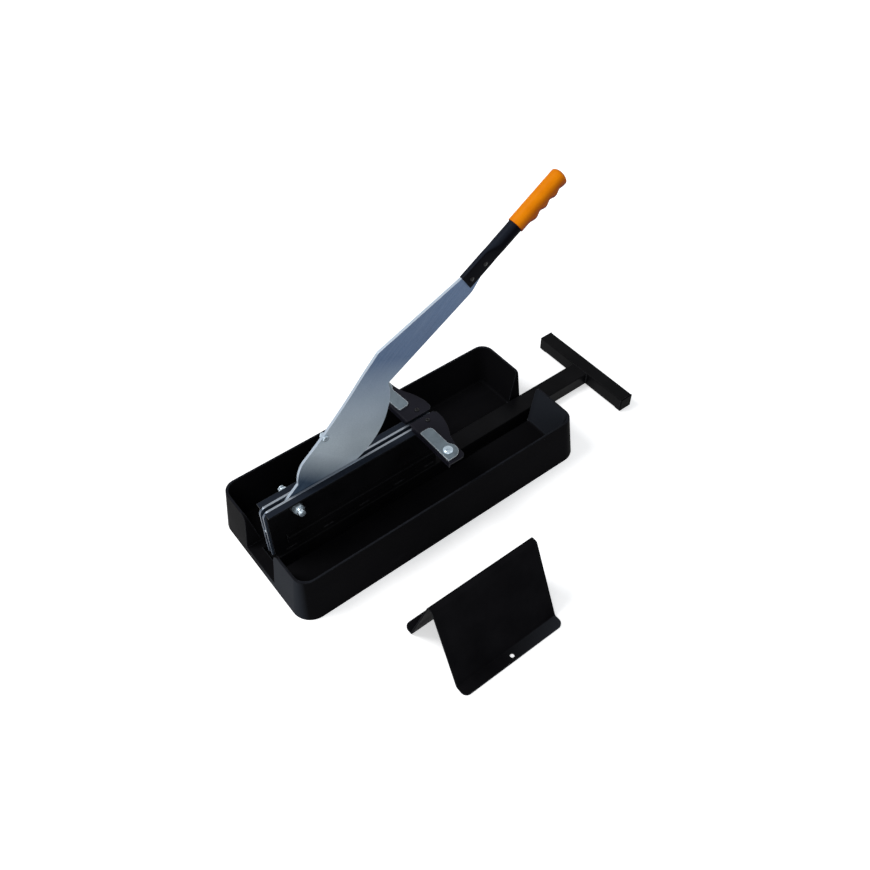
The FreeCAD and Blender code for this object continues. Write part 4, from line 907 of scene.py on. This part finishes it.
def make_floor():
    """Pale floor that glows a little, and more away from the object."""
    bpy.ops.mesh.primitive_plane_add(size=14, location=(0, 0, -0.0003))
    floor = bpy.context.active_object
    floor.name = "floor"
    ground = bpy.data.materials.new("floor")
    ground.use_nodes = True
    tree = ground.node_tree
    surface = tree.nodes["Principled BSDF"]
    surface.inputs["Base Color"].default_value = (0.86, 0.86, 0.86, 1)
    surface.inputs["Roughness"].default_value = 0.9
    surface.inputs["Specular IOR Level"].default_value = 0.1
    surface.inputs["Emission Color"].default_value = (1, 1, 1, 1)
    place = tree.nodes.new("ShaderNodeTexCoord")
    away = tree.nodes.new("ShaderNodeVectorMath")
    away.operation = "LENGTH"
    glow = tree.nodes.new("ShaderNodeMapRange")
    near, far, near_glow, far_glow = 0.5, 1.3, 0.5, 0.85
    for name, number in (("From Min", near), ("From Max", far), ("To Min", near_glow), ("To Max", far_glow)):
        glow.inputs[name].default_value = number
    tree.links.new(place.outputs["Object"], away.inputs[0])
    tree.links.new(away.outputs["Value"], glow.inputs["Value"])
    lift = tree.nodes.new("ShaderNodeMath")
    lift.operation = "MULTIPLY"
    tree.links.new(glow.outputs["Result"], lift.inputs[1])
    tree.links.new(seen_directly(tree), lift.inputs[0])
    tree.links.new(lift.outputs["Value"], surface.inputs["Emission Strength"])
    floor.data.materials.append(ground)


def make_world():
    """Soft cool light all round, seen as plain white."""
    world = bpy.data.worlds.new("studio")
    bpy.context.scene.world = world
    world.use_nodes = True
    sky = world.node_tree
    soft_light = sky.nodes["Background"]
    soft_light.inputs["Color"].default_value = (0.93, 0.96, 1.0, 1)
    soft_light.inputs["Strength"].default_value = 0.36
    white = sky.nodes.new("ShaderNodeBackground")
    white.inputs["Color"].default_value = (1, 1, 1, 1)
    either = sky.nodes.new("ShaderNodeMixShader")
    sky.links.new(seen_directly(sky), either.inputs[0])
    sky.links.new(soft_light.outputs["Background"], either.inputs[1])
    sky.links.new(white.outputs["Background"], either.inputs[2])
    sky.links.new(either.outputs["Shader"], sky.nodes["World Output"].inputs["Surface"])


def lamp(name, place, target, size, power, colour=(1, 1, 1)):
    light = bpy.data.lights.new(name, "AREA")
    light.shape = "DISK"
    light.size = size
    light.energy = power
    light.color = colour
    thing = bpy.data.objects.new(name, light)
    thing.location = place
    thing.rotation_euler = (Vector(target) - Vector(place)).to_track_quat("-Z", "Y").to_euler()
    bpy.context.scene.collection.objects.link(thing)


make_floor()
make_world()
lamp("key", (-1.35, 0.9, 2.6), (0, 0, 0.15), 1.3, 58)
lamp("fill", (1.8, -1.6, 1.9), (0, 0, 0.1), 1.8, 8, (0.95, 0.97, 1.0))
lamp("front", (-1.4, -2.0, 1.2), (0, -0.1, 0.1), 1.6, 17)

# Camera, where the photograph was taken from
CAMERA_PLACE = (-0.59640, -0.88015, 1.32996)
CAMERA_RIGHT = Vector((0.7904400, -0.6124881, -0.0079359))
CAMERA_DOWN = Vector((-0.4615669, -0.5870529, -0.6650751))
CAMERA_AHEAD = Vector((0.4026918, 0.5293649, -0.7467343))


def make_camera():
    lens = bpy.data.cameras.new("camera")
    lens.sensor_width = 36.0
    lens.lens = 36.892
    lens.clip_start = 0.05
    camera = bpy.data.objects.new("camera", lens)
    turned = Matrix((CAMERA_RIGHT, -CAMERA_DOWN, -CAMERA_AHEAD)).transposed()
    camera.matrix_world = Matrix.Translation(CAMERA_PLACE) @ turned.to_4x4()
    bpy.context.scene.collection.objects.link(camera)
    bpy.context.scene.camera = camera


make_camera()
bpy.context.scene.view_settings.view_transform = "Standard"
